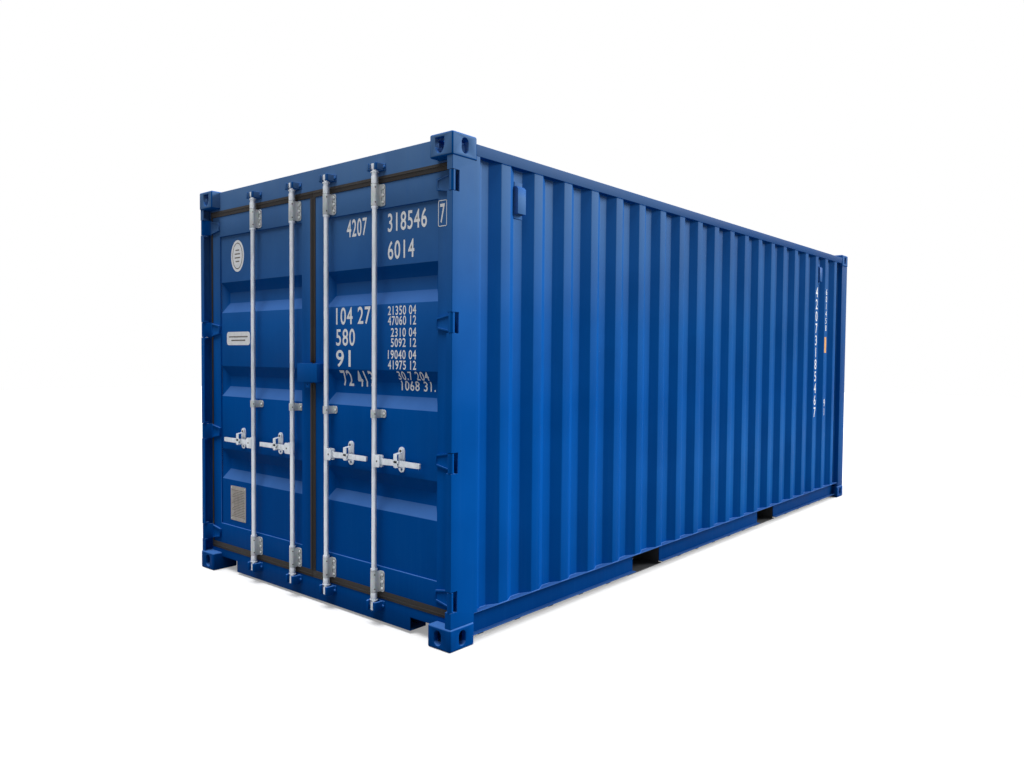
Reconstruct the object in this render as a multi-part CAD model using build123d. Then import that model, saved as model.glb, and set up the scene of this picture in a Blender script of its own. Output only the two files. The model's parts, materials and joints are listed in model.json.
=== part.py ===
from build123d import *
import math
import os

# Twenty-foot dry freight container, millimetres, +Z up.
# The length runs along X with the doors at -X; the origin is on the ground under the middle.
# "depth" is measured from the door-end face inwards, "out" is the distance from the centre plane,
# and a pair of like pieces is drawn on the +Y side and mirrored to the -Y side.

# Overall size
LENGTH = 6058.0
WIDTH = 2438.0
HEIGHT = 2591.0
CLEARANCE = 0.5

# Corner castings
CAST_LENGTH = 178.0
CAST_WIDTH = 162.0
CAST_HEIGHT = 118.0
CAST_WALL = 13.0
CAST_FACE = 28.0
TWIST_LENGTH = 124.5
TWIST_WIDTH = 63.5
TWIST_FROM_END = 102.5
TWIST_FROM_SIDE = 89.5
HOLE_HEIGHT = 79.5
HOLE_WIDTH = 51.0
HOLE_FROM_EDGE = 89.5
HOLE_MIDDLE = 59.0
SHIELD_WIDTH = 66.0
SHIELD_TOE = 22.0
SHIELD_SHOULDER = 6.0

# Rails, posts and sheets
RAIL_INSET = 4.0
TOP_RAIL_SIZE = 60.0
TOP_RAIL_WALL = 3.0
TOP_RAIL_DROP = 32.0
BOTTOM_RAIL_BOTTOM = 35.0
BOTTOM_RAIL_HEIGHT = 128.0
BOTTOM_RAIL_LEDGE = 52.5
BOTTOM_RAIL_LIP = 34.5
BOTTOM_RAIL_WALL = 4.5
POST_PLATE = 6.0
POST_FRONT_INSET = 6.0
POST_LIP = 38.0
DOOR_POST_SIDE = 199.0
POST_RETURN_RUN = 28.0
POST_FLANGE = 23.0
CHANNEL_DEPTH = 113.0
CHANNEL_WALL = 12.0
CHANNEL_FROM_FACE = 70.0
FRONT_POST_SIDE = 156.0
FRONT_POST_END = 105.0
FRONT_RETURN_RUN = 30.0
SHEET = 2.0

# Corrugations of the side walls
WAVE_CREST = 72.0
WAVE_SLOPE = 68.0
WAVE_VALLEY = 70.0
WAVE_DEPTH = 36.0
WAVE_INSET = 4.0
FIRST_VALLEY = 74.0

# Corrugations of the blind end wall and of the roof
END_CREST = 110.0
END_SLOPE = 18.0
END_VALLEY = 104.0
END_DEPTH = 46.0
ROOF_CREST = 91.0
ROOF_SLOPE = 13.0
ROOF_VALLEY = 92.0
ROOF_DEPTH = 20.0
ROOF_RIM = 30.0

# Underframe
FLOOR_THICKNESS = 28.0
MEMBER_HEIGHT = 122.0
MEMBER_FLANGE = 45.0
MEMBER_WALL = 4.0
MEMBER_SPACING = 300.0
MEMBER_FROM_END = 90.0
POCKET_SPACING = 2080.0
POCKET_WIDTH = 360.0
POCKET_PLATE = 4.0
POCKET_STRAP = 200.0
POCKET_STRAP_PLATE = 6.0
POCKET_HEAD = 13.5

# Door frame of the container
POST_FACE_WIDTH = 49.0
HEADER_HEIGHT = 158.0
SILL_TOP = 155.0
LINTEL_DEPTH = 116.0
LINTEL_WALL = 4.0
LINTEL_TOP_GAP = 6.0
SILL_BOTTOM = 16.0
SILL_NOTCH = 197.0
SILL_NOTCH_HEIGHT = 74.0

# Doors
DOOR_FACE = 62.0
DOOR_THICKNESS = 50.0
DOOR_GAP = 12.0
STILE = 100.0
MEETING_STILE = 104.0
TOP_STILE = 137.0
BOTTOM_STILE = 155.0
FRAME_WALL = 3.0
PANEL_SETBACK = 10.0
RECESSES = 3
RECESS_DEPTH = 36.0
RECESS_FACE = 70.0
RECESS_END = 50.0
RECESS_HEIGHT = 206.0
RECESS_MARGIN = 311.0
GASKET_DEPTH = 22.0
GASKET_SETBACK = 2.0
MEETING_GAP = 1.0

# Hinges
HINGE_DEPTH = 19.0
HINGE_INSET = 19.0
BARREL_RADIUS = 15.0
BARREL_SIDES = 12
PIN_RADIUS = 6.0
PIN_SIDES = 8
BLADE_HEIGHT = 100.0
BLADE_THICKNESS = 12.0
BLADE_LENGTH = 97.0
BLADE_SHOULDER = 6.0
BLADE_TOE = 22.0
BLADE_RIB = 8.0
BLADE_POCKET = 5.0
ARM_THICKNESS = 12.0
ARM_BACK = 10.0
HINGES = 4
LOWEST_HINGE = 253.0
HIGHEST_HINGE_DROP = 238.0
LUG_THICKNESS = 12.0
LUG_REACH = 8.0
NOTCH_CLEARANCE = 3.0
NOTCH_LENGTH = 36.0

# Locking rods
ROD_RADIUS = 14.0
ROD_DEPTH = 30.0
INNER_ROD_OUT = 170.0
OUTER_ROD_SHIFT = 14.0

# Cams and keepers
CAM_LOW = 105.0
CAM_DROP = 76.0
CAM_HEIGHT = 40.0
CAM_LOBE = 26.5
CAM_LOBE_THICKNESS = 10.0
CAM_BODY = 34.0
CAM_FLAT = 14.0
CAM_SWEEP_GAP = 3.0
KEEPER_HEIGHT = 60.0
KEEPER_WALL = 12.0
KEEPER_PLATE = 5.0
KEEPER_FOOT = 14.0
KEEPER_DEPTH = 58.0
KEEPER_TIP = 9.5
KEEPER_TIP_THICKNESS = 6.0

# Rod bearings on the door frames and guides on the door panels
SLEEVE_HALF = 19.5
SLEEVE_CHAMFER = 10.0
SLEEVE_LENGTH = 118.0
SLEEVE_FROM_BOTTOM = 75.0
SLEEVE_FROM_TOP = 65.0
GUIDE_LENGTH = 45.0
GUIDE_MIDDLE = 1168.0
FOOT_WIDTH = 106.0
FOOT_PLATE = 6.0

# Handles with their hubs
HANDLE_UP = 912.0
HUB_LENGTH = 62.0
HUB_HEIGHT = 66.0
HUB_THICKNESS = 32.0
HUB_CHAMFER = 8.0
HUB_WEB = 6.0
HUB_BACK = 2.0
PIVOT_OUT = 40.0
HANDLE_END_GAP = 70.0
HANDLE_BAR = 32.0
HANDLE_TIP = 27.0
HANDLE_THICKNESS = 12.0
HANDLE_STEP = 6.0
STEP_START = 100.0
STEP_END = 136.0

# Handle retainers and catches
RETAINER_OUT = 182.0
RETAINER_WIDTH = 48.0
RETAINER_HEIGHT = 137.0
RETAINER_PLATE = 6.0
LEDGE_WIDTH = 34.0
LEDGE_THICKNESS = 6.0
LIP_THICKNESS = 4.0
LIP_HEIGHT = 8.0
PIVOT_RISE = 63.0
RETAINER_CHAMFER = 14.0
BOSS_SIZE = 22.0
CATCH_THICKNESS = 4.0
CATCH_HEAD = 14.0
CATCH_CHAMFER = 6.0
CATCH_HALF = 31.0
CATCH_TOE = 18.0
CATCH_NECK_DROP = 20.0
CATCH_WIDE_DROP = 50.0
CATCH_EDGE = 14.0
CATCH_DROP = 24.0
SEAL_HOLE = 6.0
RIVET_RADIUS = 6.0
RIVET_HEAD = 2.0
RIVET_HEAD_RADIUS = 10.0

# Lock box over the meeting line of the doors
BOX_HALF = 98.0
BOX_BOTTOM = 1325.0
BOX_HEIGHT = 111.0
BOX_DEPTH = 46.0
BOX_WALL = 5.0
BOX_BACK_GAP = 3.0
BOX_SLOT_LENGTH = 136.0
BOX_SLOT_WIDTH = 24.0
BOX_SLOT_SETBACK = 12.0
STAPLE_LENGTH = 44.0
STAPLE_DROP = 34.0
STAPLE_LAP = 20.0
STAPLE_HOLE = 8.0

# Wall vents
VENT_HEIGHT = 150.0
VENT_DEPTH = 30.0
VENT_ROUND = 14.0
VENT_WALL = 3.0
VENT_TAB = 24.0
VENT_TAB_THICKNESS = 4.0
VENT_DROP = 164.0

# Places worked out from the sizes
END_X = LENGTH / 2
SIDE_Y = WIDTH / 2
RAIL_FACE = SIDE_Y - RAIL_INSET
RAIL_END = END_X - CAST_LENGTH
CAST_INNER = SIDE_Y - CAST_WIDTH
TOP_RAIL_TOP = HEIGHT - TOP_RAIL_DROP
TOP_RAIL_UNDER = TOP_RAIL_TOP - TOP_RAIL_SIZE
FLOOR_TOP = BOTTOM_RAIL_BOTTOM + BOTTOM_RAIL_HEIGHT
FLOOR_UNDER = FLOOR_TOP - FLOOR_THICKNESS
RAIL_WEB_IN = RAIL_FACE - BOTTOM_RAIL_LEDGE
CREST_FACE = RAIL_FACE - WAVE_INSET
VALLEY_FACE = CREST_FACE - WAVE_DEPTH
OPENING_HALF = SIDE_Y - POST_FACE_WIDTH
OPENING_TOP = HEIGHT - HEADER_HEIGHT
DOOR_X = -END_X + DOOR_FACE
HINGE_X = -END_X + HINGE_DEPTH
HINGE_OUT = SIDE_Y - HINGE_INSET
LEAF_OUT = OPENING_HALF - DOOR_GAP
LEAF_LOW = SILL_TOP + DOOR_GAP
LEAF_HIGH = OPENING_TOP - DOOR_GAP
PANEL_X = DOOR_X + PANEL_SETBACK
PANEL_LOW = LEAF_LOW + BOTTOM_STILE
PANEL_HIGH = LEAF_HIGH - TOP_STILE
ROD_X = -END_X + ROD_DEPTH
BLADE_HEEL_OUT = LEAF_OUT - NOTCH_CLEARANCE
BLADE_TOE_OUT = BLADE_HEEL_OUT - BLADE_LENGTH
ROD_OUT = (INNER_ROD_OUT, (INNER_ROD_OUT + BLADE_TOE_OUT) / 2 - OUTER_ROD_SHIFT)
HANDLE_LENGTH = ROD_OUT[1] - ROD_OUT[0] - HANDLE_END_GAP
CAM_HIGH = HEIGHT - CAM_DROP
SLEEVE_LOW = LEAF_LOW + SLEEVE_FROM_BOTTOM
SLEEVE_HIGH = LEAF_HIGH - SLEEVE_FROM_TOP
CATCH_PIVOT = HANDLE_UP + PIVOT_RISE
HELD_X = ROD_X + HANDLE_STEP
FLAT_TO_CORNER = 1 / math.cos(math.pi / PIN_SIDES)


# Small helpers

def block(x0, x1, y0, y1, z0, z1):
    size = Box(abs(x1 - x0), abs(y1 - y0), abs(z1 - z0))
    return Pos((x0 + x1) / 2, (y0 + y1) / 2, (z0 + z1) / 2) * size


def upright(points, z0, z1):
    """A prism on a plan outline of (x, y) points."""
    face = make_face(Polyline([(x, y, z0) for x, y in points], close=True))
    return extrude(face, amount=z1 - z0, dir=(0, 0, 1))


def lengthwise(points, x0, x1):
    """A prism on an outline of (y, z) points that runs along X."""
    face = make_face(Polyline([(x0, y, z) for y, z in points], close=True))
    return extrude(face, amount=x1 - x0, dir=(1, 0, 0))


def crosswise(points, y0, y1):
    """A prism on an outline of (x, z) points that runs along Y."""
    face = make_face(Polyline([(x, y0, z) for x, z in points], close=True))
    return extrude(face, amount=y1 - y0, dir=(0, 1, 0))


def folded(points, thickness):
    """The outline of a folded sheet: its given face and the same line offset to the left."""
    normals = []
    for (ax, ay), (bx, by) in zip(points, points[1:]):
        run = math.hypot(bx - ax, by - ay)
        normals.append((-(by - ay) / run, (bx - ax) / run))
    back = []
    for i, (px, py) in enumerate(points):
        before = normals[max(i - 1, 0)]
        after = normals[min(i, len(normals) - 1)]
        grow = thickness / (1 + before[0] * after[0] + before[1] * after[1])
        back.append((px + grow * (before[0] + after[0]), py + grow * (before[1] + after[1])))
    return points + back[::-1]


def flip(shape):
    """The same piece on the other side of the centre plane."""
    return mirror(shape, about=Plane.XZ)


def save(name, *shapes):
    solids = [s for shape in shapes for s in shape.solids()]
    whole = solids[0] if len(solids) == 1 else Compound(children=solids)
    whole.label = name
    export_step(whole, "parts/" + name + ".step")


# Corner castings

def upright_hole():
    return SlotOverall(HOLE_HEIGHT, HOLE_WIDTH)


def shield_hole():
    """The end hole of a top casting: wide under a flat top, and narrower below its shoulders."""
    half, toe, high = SHIELD_WIDTH / 2, SHIELD_TOE / 2, HOLE_HEIGHT / 2
    outline = Polyline([(high, -half), (high, half), (-SHIELD_SHOULDER, half), (-high, toe),
                        (-high, -toe), (-SHIELD_SHOULDER, -half)], close=True)
    return make_face(outline)


def casting(upper):
    """A casting at the +X, +Y corner: a hollow block with a twist hole, an end hole and a side hole."""
    low = HEIGHT - CAST_HEIGHT if upper else 0.0
    body = block(RAIL_END, END_X, CAST_INNER, SIDE_Y, low, low + CAST_HEIGHT)
    base = CAST_WALL if upper else CAST_FACE
    cap = CAST_FACE if upper else CAST_WALL
    body -= block(RAIL_END + CAST_WALL, END_X - CAST_FACE, CAST_INNER + CAST_WALL, SIDE_Y - CAST_FACE,
                  low + base, low + CAST_HEIGHT - cap)
    twist = Pos(END_X - TWIST_FROM_END, SIDE_Y - TWIST_FROM_SIDE) * SlotOverall(TWIST_LENGTH, TWIST_WIDTH)
    face_z = low + CAST_HEIGHT - CAST_FACE if upper else low
    body -= extrude(Pos(0, 0, face_z) * twist, amount=CAST_FACE)
    middle = low + (CAST_HEIGHT - HOLE_MIDDLE if upper else HOLE_MIDDLE)
    end_hole = Plane(origin=(END_X, SIDE_Y - HOLE_FROM_EDGE, middle), x_dir=(0, 0, 1), z_dir=(1, 0, 0))
    side_hole = Plane(origin=(END_X - HOLE_FROM_EDGE, SIDE_Y, middle), x_dir=(0, 0, 1), z_dir=(0, 1, 0))
    body -= extrude(end_hole * (shield_hole() if upper else upright_hole()), amount=-CAST_FACE)
    body -= extrude(side_hole * upright_hole(), amount=-CAST_FACE)
    return body


def four_corners(piece):
    back = mirror(piece, about=Plane.YZ)
    return [piece, flip(piece), back, flip(back)]


def make_castings():
    save("top_corner_castings", *four_corners(casting(True)))
    save("bottom_corner_castings", *four_corners(casting(False)))


# Corner posts

def hinge_heights():
    spacing = (HEIGHT - HIGHEST_HINGE_DROP - LOWEST_HINGE) / (HINGES - 1)
    return [LOWEST_HINGE + spacing * i for i in range(HINGES)]


def door_post():
    """A folded outer plate and the channel that the door closes into, on the +Y side."""
    front = -END_X + POST_FRONT_INSET
    bend = front + DOOR_POST_SIDE
    flange_x = bend + POST_RETURN_RUN
    skin = [(flange_x + POST_FLANGE, VALLEY_FACE + POST_PLATE), (flange_x, VALLEY_FACE + POST_PLATE),
            (bend, RAIL_FACE), (front, RAIL_FACE), (front, RAIL_FACE - POST_LIP)]
    post = upright(folded(skin, POST_PLATE), CAST_HEIGHT, TOP_RAIL_UNDER)
    past_castings = (-RAIL_END, flange_x + POST_FLANGE + 1, 0, SIDE_Y)
    post -= block(*past_castings, 0, FLOOR_TOP)
    post -= block(-END_X, -RAIL_END, 0, SIDE_Y, HEIGHT - CAST_HEIGHT, HEIGHT)
    channel_x = -END_X + CHANNEL_FROM_FACE
    inside = RAIL_FACE - POST_PLATE
    channel = block(channel_x, channel_x + CHANNEL_DEPTH, OPENING_HALF, inside,
                    CAST_HEIGHT, HEIGHT - CAST_HEIGHT)
    channel -= block(channel_x + CHANNEL_WALL, channel_x + CHANNEL_DEPTH - CHANNEL_WALL,
                     OPENING_HALF + CHANNEL_WALL, SIDE_Y, 0, HEIGHT)
    channel -= block(-RAIL_END, SIDE_Y, 0, SIDE_Y, 0, FLOOR_TOP)
    post += channel
    for z in hinge_heights():
        half = BLADE_HEIGHT / 2 + NOTCH_CLEARANCE
        post -= block(-END_X, HINGE_X + NOTCH_LENGTH, RAIL_FACE - POST_LIP - 1, SIDE_Y, z - half, z + half)
    return post


def pin(radius, sides, z, height):
    """A prism on the hinge axis whose corners are at the radius."""
    plane = Plane(origin=(HINGE_X, HINGE_OUT, z - height / 2))
    return extrude(plane * RegularPolygon(radius, sides), amount=height)


def hinge_lugs():
    """For each hinge: two lugs inside the post's corner with the pin between them."""
    pieces = []
    x0 = -END_X + POST_FRONT_INSET + POST_PLATE
    y1 = RAIL_FACE - POST_PLATE
    reach = BARREL_RADIUS + LUG_REACH
    for z in hinge_heights():
        half = BLADE_HEIGHT / 2 + 2 * CLEARANCE
        piece = pin(PIN_RADIUS, PIN_SIDES, z, 2 * half)
        for low in (z - half - LUG_THICKNESS, z + half):
            piece += block(x0, HINGE_X + reach, HINGE_OUT - reach, y1, low, low + LUG_THICKNESS)
        pieces.append(piece)
    return pieces


def front_post():
    """The pressed post at the blind end, on the +Y side."""
    face = END_X - RAIL_INSET
    bend = face - FRONT_POST_SIDE
    valley_x = END_X - WAVE_INSET - RAIL_INSET - END_DEPTH
    end_bend = RAIL_FACE - FRONT_POST_END
    skin = [(valley_x + POST_PLATE, end_bend - FRONT_RETURN_RUN - POST_FLANGE),
            (valley_x + POST_PLATE, end_bend - FRONT_RETURN_RUN),
            (face, end_bend), (face, RAIL_FACE), (bend, RAIL_FACE),
            (bend - POST_RETURN_RUN, VALLEY_FACE + POST_PLATE),
            (bend - POST_RETURN_RUN - POST_FLANGE, VALLEY_FACE + POST_PLATE)]
    post = upright(folded(skin, POST_PLATE), CAST_HEIGHT, TOP_RAIL_UNDER)
    post -= block(RAIL_END, END_X, CAST_INNER, SIDE_Y, HEIGHT - CAST_HEIGHT, HEIGHT)
    post -= block(bend - 2 * POST_RETURN_RUN - POST_FLANGE, RAIL_END, 0, SIDE_Y, 0, FLOOR_TOP)
    post -= block(RAIL_END, END_X, 0, CAST_INNER, 0, FLOOR_TOP)
    return post


def make_posts():
    post = door_post()
    save("left_door_post", post)
    save("right_door_post", flip(post))
    lugs = hinge_lugs()
    save("post_hinge_lugs", *lugs, *[flip(lug) for lug in lugs])
    front = front_post()
    save("front_corner_posts", front, flip(front))


# Frame members of the two ends

def lintel(bottom, top, wide_bottom, wide_top):
    """A box section across the door end: its wide band meets the posts above or below the castings."""
    x0, x1 = DOOR_X, DOOR_X + LINTEL_DEPTH
    wall = LINTEL_WALL
    shape = block(x0, x1, -CAST_INNER, CAST_INNER, bottom, top)
    shape += block(x0, x1, -OPENING_HALF, OPENING_HALF, wide_bottom, wide_top)
    inside = block(x0 + wall, x1 - wall, -OPENING_HALF, OPENING_HALF, bottom + wall, top - wall)
    return shape - inside


def make_end_frames():
    top = HEIGHT - LINTEL_TOP_GAP
    save("door_header", lintel(OPENING_TOP, top, OPENING_TOP, HEIGHT - CAST_HEIGHT))
    sill = lintel(SILL_BOTTOM, SILL_TOP, CAST_HEIGHT, SILL_TOP)
    for side in (-1, 1):
        sill -= block(DOOR_X - 1, DOOR_X + LINTEL_DEPTH + 1, side * (CAST_INNER - SILL_NOTCH),
                      side * CAST_INNER, 0, SILL_BOTTOM + SILL_NOTCH_HEIGHT)
    save("door_sill", sill)
    x1 = END_X - RAIL_INSET
    rail = block(x1 - TOP_RAIL_SIZE, x1, -CAST_INNER, CAST_INNER, TOP_RAIL_UNDER, TOP_RAIL_TOP)
    rail -= block(x1 - TOP_RAIL_SIZE + TOP_RAIL_WALL, x1 - TOP_RAIL_WALL, -CAST_INNER, CAST_INNER,
                  TOP_RAIL_UNDER + TOP_RAIL_WALL, TOP_RAIL_TOP - TOP_RAIL_WALL)
    rail += block(RAIL_END, x1 - TOP_RAIL_SIZE, -CAST_INNER, CAST_INNER,
                  TOP_RAIL_TOP - LINTEL_WALL, TOP_RAIL_TOP)
    save("front_top_rail", rail)
    foot = block(x1 - TOP_RAIL_SIZE, x1, -CAST_INNER, CAST_INNER, SILL_BOTTOM, FLOOR_TOP)
    foot -= block(x1 - TOP_RAIL_SIZE + LINTEL_WALL, x1 - LINTEL_WALL, -CAST_INNER, CAST_INNER,
                  SILL_BOTTOM + LINTEL_WALL, FLOOR_TOP - LINTEL_WALL)
    save("front_bottom_rail", foot)


# Side rails

def make_side_rails():
    rail = block(-RAIL_END, RAIL_END, RAIL_FACE - TOP_RAIL_SIZE, RAIL_FACE, TOP_RAIL_UNDER, TOP_RAIL_TOP)
    rail -= block(-RAIL_END, RAIL_END, RAIL_FACE - TOP_RAIL_SIZE + TOP_RAIL_WALL, RAIL_FACE - TOP_RAIL_WALL,
                  TOP_RAIL_UNDER + TOP_RAIL_WALL, TOP_RAIL_TOP - TOP_RAIL_WALL)
    save("top_side_rails", rail, flip(rail))
    wall = BOTTOM_RAIL_WALL
    section = [(RAIL_WEB_IN + BOTTOM_RAIL_LIP, BOTTOM_RAIL_BOTTOM), (RAIL_WEB_IN, BOTTOM_RAIL_BOTTOM),
               (RAIL_WEB_IN, FLOOR_TOP), (RAIL_FACE, FLOOR_TOP)]
    channel = lengthwise(folded(section[::-1], wall), -RAIL_END, RAIL_END)
    for x in (-POCKET_SPACING / 2, POCKET_SPACING / 2):
        channel -= block(x - POCKET_WIDTH / 2, x + POCKET_WIDTH / 2, 0, SIDE_Y, 0, FLOOR_TOP - POCKET_HEAD)
    save("left_bottom_rail", channel)
    save("right_bottom_rail", flip(channel))


# Walls and roof

def wave_line():
    """The outer face of a side wall in plan, from the door post to the blind-end post."""
    start = -END_X + POST_FRONT_INSET + DOOR_POST_SIDE + POST_RETURN_RUN + SHEET
    stop = END_X - RAIL_INSET - FRONT_POST_SIDE - POST_RETURN_RUN - SHEET
    first = start + FIRST_VALLEY
    pitch = WAVE_CREST + 2 * WAVE_SLOPE + WAVE_VALLEY
    count = round((stop - first) / pitch)
    step = (stop - first) / count
    points = [(start, VALLEY_FACE)]
    for i in range(count):
        foot = first + step * i
        crest = foot + WAVE_SLOPE
        points += [(foot, VALLEY_FACE), (crest, CREST_FACE),
                   (crest + WAVE_CREST, CREST_FACE), (crest + WAVE_CREST + WAVE_SLOPE, VALLEY_FACE)]
    return points + [(stop, VALLEY_FACE)]


def end_wall():
    crest_x = END_X - WAVE_INSET - RAIL_INSET
    edge = RAIL_FACE - FRONT_POST_END - FRONT_RETURN_RUN - SHEET
    pitch = END_CREST + 2 * END_SLOPE + END_VALLEY
    count = int(2 * edge // pitch)
    half = END_CREST / 2
    points = [(crest_x - END_DEPTH, -edge)]
    for i in range(count):
        middle = (i - (count - 1) / 2) * pitch
        points += [(crest_x - END_DEPTH, middle - half - END_SLOPE), (crest_x, middle - half),
                   (crest_x, middle + half), (crest_x - END_DEPTH, middle + half + END_SLOPE)]
    points.append((crest_x - END_DEPTH, edge))
    wall = upright(folded(points, SHEET), FLOOR_TOP, TOP_RAIL_UNDER)
    for side in (-1, 1):
        wall -= block(RAIL_END, END_X, side * CAST_INNER, side * SIDE_Y, HEIGHT - CAST_HEIGHT, HEIGHT)
    return wall


def make_walls():
    wall = upright(folded(wave_line()[::-1], SHEET), FLOOR_TOP, TOP_RAIL_UNDER)
    save("left_side_wall", wall)
    save("right_side_wall", flip(wall))
    save("front_wall", end_wall())


def make_roof():
    pitch = ROOF_CREST + 2 * ROOF_SLOPE + ROOF_VALLEY
    count = int(2 * RAIL_END // pitch)
    half = ROOF_CREST / 2
    low = TOP_RAIL_TOP
    points = [(-RAIL_END, low)]
    for i in range(count):
        middle = (i - (count - 1) / 2) * pitch
        points += [(middle - half - ROOF_SLOPE, low), (middle - half, low + ROOF_DEPTH),
                   (middle + half, low + ROOF_DEPTH), (middle + half + ROOF_SLOPE, low)]
    points.append((RAIL_END, low))
    inner = RAIL_FACE - TOP_RAIL_SIZE
    roof = crosswise(folded(points, SHEET), -inner, inner)
    for side in (-1, 1):
        roof += block(-RAIL_END, RAIL_END, side * inner, side * (inner + ROOF_RIM), low, low + SHEET)
        for i in range(count):
            crest = points[1 + 4 * i:5 + 4 * i]
            roof += crosswise(crest, *sorted((side * (inner - SHEET), side * inner)))
    save("roof_panel", roof)


# Floor and underframe

def member_places():
    """The middles of the plain cross members: three groups between the ends and the fork pockets."""
    inside = POCKET_SPACING / 2 - POCKET_WIDTH / 2
    edge = POCKET_SPACING / 2 + POCKET_WIDTH / 2
    last = RAIL_END - MEMBER_FROM_END
    between = round(2 * inside / MEMBER_SPACING)
    beyond = round((last - edge) / MEMBER_SPACING)
    outer = [edge + (last - edge) * i / beyond for i in range(1, beyond + 1)]
    inner = [-inside + 2 * inside * i / between for i in range(1, between)]
    return [-x for x in outer] + inner + outer


def cross_member(x, towards):
    """A channel across the container with its web at x and its flanges to one side."""
    low = FLOOR_UNDER - MEMBER_HEIGHT
    wall = MEMBER_WALL
    section = [(x + towards * MEMBER_FLANGE, low), (x, low), (x, FLOOR_UNDER),
               (x + towards * MEMBER_FLANGE, FLOOR_UNDER)]
    if towards > 0:
        section.reverse()
    return crosswise(folded(section, wall), -RAIL_WEB_IN, RAIL_WEB_IN)


def make_underframe():
    x0 = DOOR_X + LINTEL_DEPTH
    x1 = END_X - RAIL_INSET - TOP_RAIL_SIZE
    floor = block(x0, x1, -RAIL_WEB_IN, RAIL_WEB_IN, FLOOR_UNDER, FLOOR_TOP)
    for x, y in ((-1, -1), (-1, 1), (1, -1), (1, 1)):
        floor -= block(x * RAIL_END, x * END_X, y * CAST_INNER, y * SIDE_Y, 0, HEIGHT)
    save("plywood_floor", floor)
    save("cross_members", *[cross_member(x, 1) for x in member_places()])
    pockets = []
    half = POCKET_WIDTH / 2
    for x in (-POCKET_SPACING / 2, POCKET_SPACING / 2):
        pocket = cross_member(x - half, -1) + cross_member(x + half, 1)
        pocket += block(x - half, x + half, -RAIL_WEB_IN, RAIL_WEB_IN,
                        FLOOR_UNDER - POCKET_PLATE, FLOOR_UNDER)
        low = FLOOR_UNDER - MEMBER_HEIGHT
        for side in (-1, 1):
            pocket += block(x - half, x + half, side * (RAIL_WEB_IN - POCKET_STRAP), side * RAIL_WEB_IN,
                            low, low + POCKET_STRAP_PLATE)
        pockets.append(pocket)
    save("forklift_pockets", *pockets)


# Door leaves, drawn on the +Y side

def leaf_frame():
    x0, x1 = DOOR_X, DOOR_X + DOOR_THICKNESS
    frame = block(x0, x1, DOOR_GAP, LEAF_OUT, LEAF_LOW, LEAF_HIGH)
    y0, y1 = DOOR_GAP + MEETING_STILE, LEAF_OUT - STILE
    z0, z1 = PANEL_LOW, PANEL_HIGH
    frame -= block(x0, x1, y0, y1, z0, z1)
    wall = FRAME_WALL
    frame -= block(x0 + wall, x1, y0, y1, LEAF_LOW + wall, z0 - wall)
    frame -= block(x0 + wall, x1, y0, y1, z1 + wall, LEAF_HIGH - wall)
    return frame


def recess(z):
    """The hollow of one pressed recess, with sloping faces above, below and at both ends."""
    y0, y1 = DOOR_GAP + MEETING_STILE, LEAF_OUT - STILE
    deep = PANEL_X + RECESS_DEPTH
    half = RECESS_HEIGHT / 2
    hollow = crosswise([(PANEL_X, z - half), (deep, z - RECESS_FACE / 2), (deep, z + RECESS_FACE / 2),
                        (PANEL_X, z + half)], y0, y1)
    return hollow & upright([(PANEL_X, y0), (deep, y0 + RECESS_END), (deep, y1 - RECESS_END), (PANEL_X, y1)],
                            z - half, z + half)


def leaf_panel():
    """A sheet with pressed recesses in it."""
    spacing = (PANEL_HIGH - PANEL_LOW - RECESS_HEIGHT - 2 * RECESS_MARGIN) / (RECESSES - 1)
    panel = block(PANEL_X, PANEL_X + SHEET, DOOR_GAP + MEETING_STILE, LEAF_OUT - STILE, PANEL_LOW, PANEL_HIGH)
    for i in range(RECESSES):
        hollow = recess(PANEL_LOW + RECESS_MARGIN + RECESS_HEIGHT / 2 + spacing * i)
        panel += Pos(SHEET, 0, 0) * hollow
        panel -= hollow
    return panel


def leaf_gasket():
    x0 = DOOR_X + GASKET_SETBACK
    x1 = x0 + GASKET_DEPTH
    outer = block(x0, x1, MEETING_GAP, OPENING_HALF - CLEARANCE,
                  SILL_TOP + CLEARANCE, OPENING_TOP - CLEARANCE)
    return outer - block(x0, x1, DOOR_GAP, LEAF_OUT, LEAF_LOW, LEAF_HIGH)


def blade_outline(heel, toe, z, rib):
    """The tapered outline of a hinge blade, inside an edge rib of the given width."""
    high = BLADE_HEIGHT / 2 - BLADE_SHOULDER - rib
    end = BLADE_HEIGHT / 2 - BLADE_TOE - rib
    return [(heel - rib, z - high), (heel - rib, z + high), (toe + rib, z + end), (toe + rib, z - end)]


def hinge_blades():
    """A barrel in the notch of the post, an arm round its edge and a ribbed, tapered blade."""
    pieces = []
    heel, toe = BLADE_HEEL_OUT, BLADE_TOE_OUT
    front = DOOR_X - BLADE_THICKNESS
    for z in hinge_heights():
        low, high = z - BLADE_HEIGHT / 2, z + BLADE_HEIGHT / 2
        barrel = pin(BARREL_RADIUS, BARREL_SIDES, z, BLADE_HEIGHT)
        arm = upright([(HINGE_X - ARM_THICKNESS, HINGE_OUT - PIN_RADIUS - NOTCH_CLEARANCE), (front, heel),
                       (DOOR_X, heel), (DOOR_X, heel + ARM_BACK),
                       (HINGE_X + PIN_RADIUS + NOTCH_CLEARANCE, HINGE_OUT - ARM_THICKNESS)], low, high)
        blade = lengthwise(blade_outline(heel, toe, z, 0), front, DOOR_X)
        blade -= lengthwise(blade_outline(heel, toe, z, BLADE_RIB), front, front + BLADE_POCKET)
        piece = barrel + arm + blade
        piece -= pin((PIN_RADIUS + CLEARANCE) * FLAT_TO_CORNER, PIN_SIDES, z, BLADE_HEIGHT)
        pieces.append(piece)
    return pieces


# Locking gear, drawn on the +Y side

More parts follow.
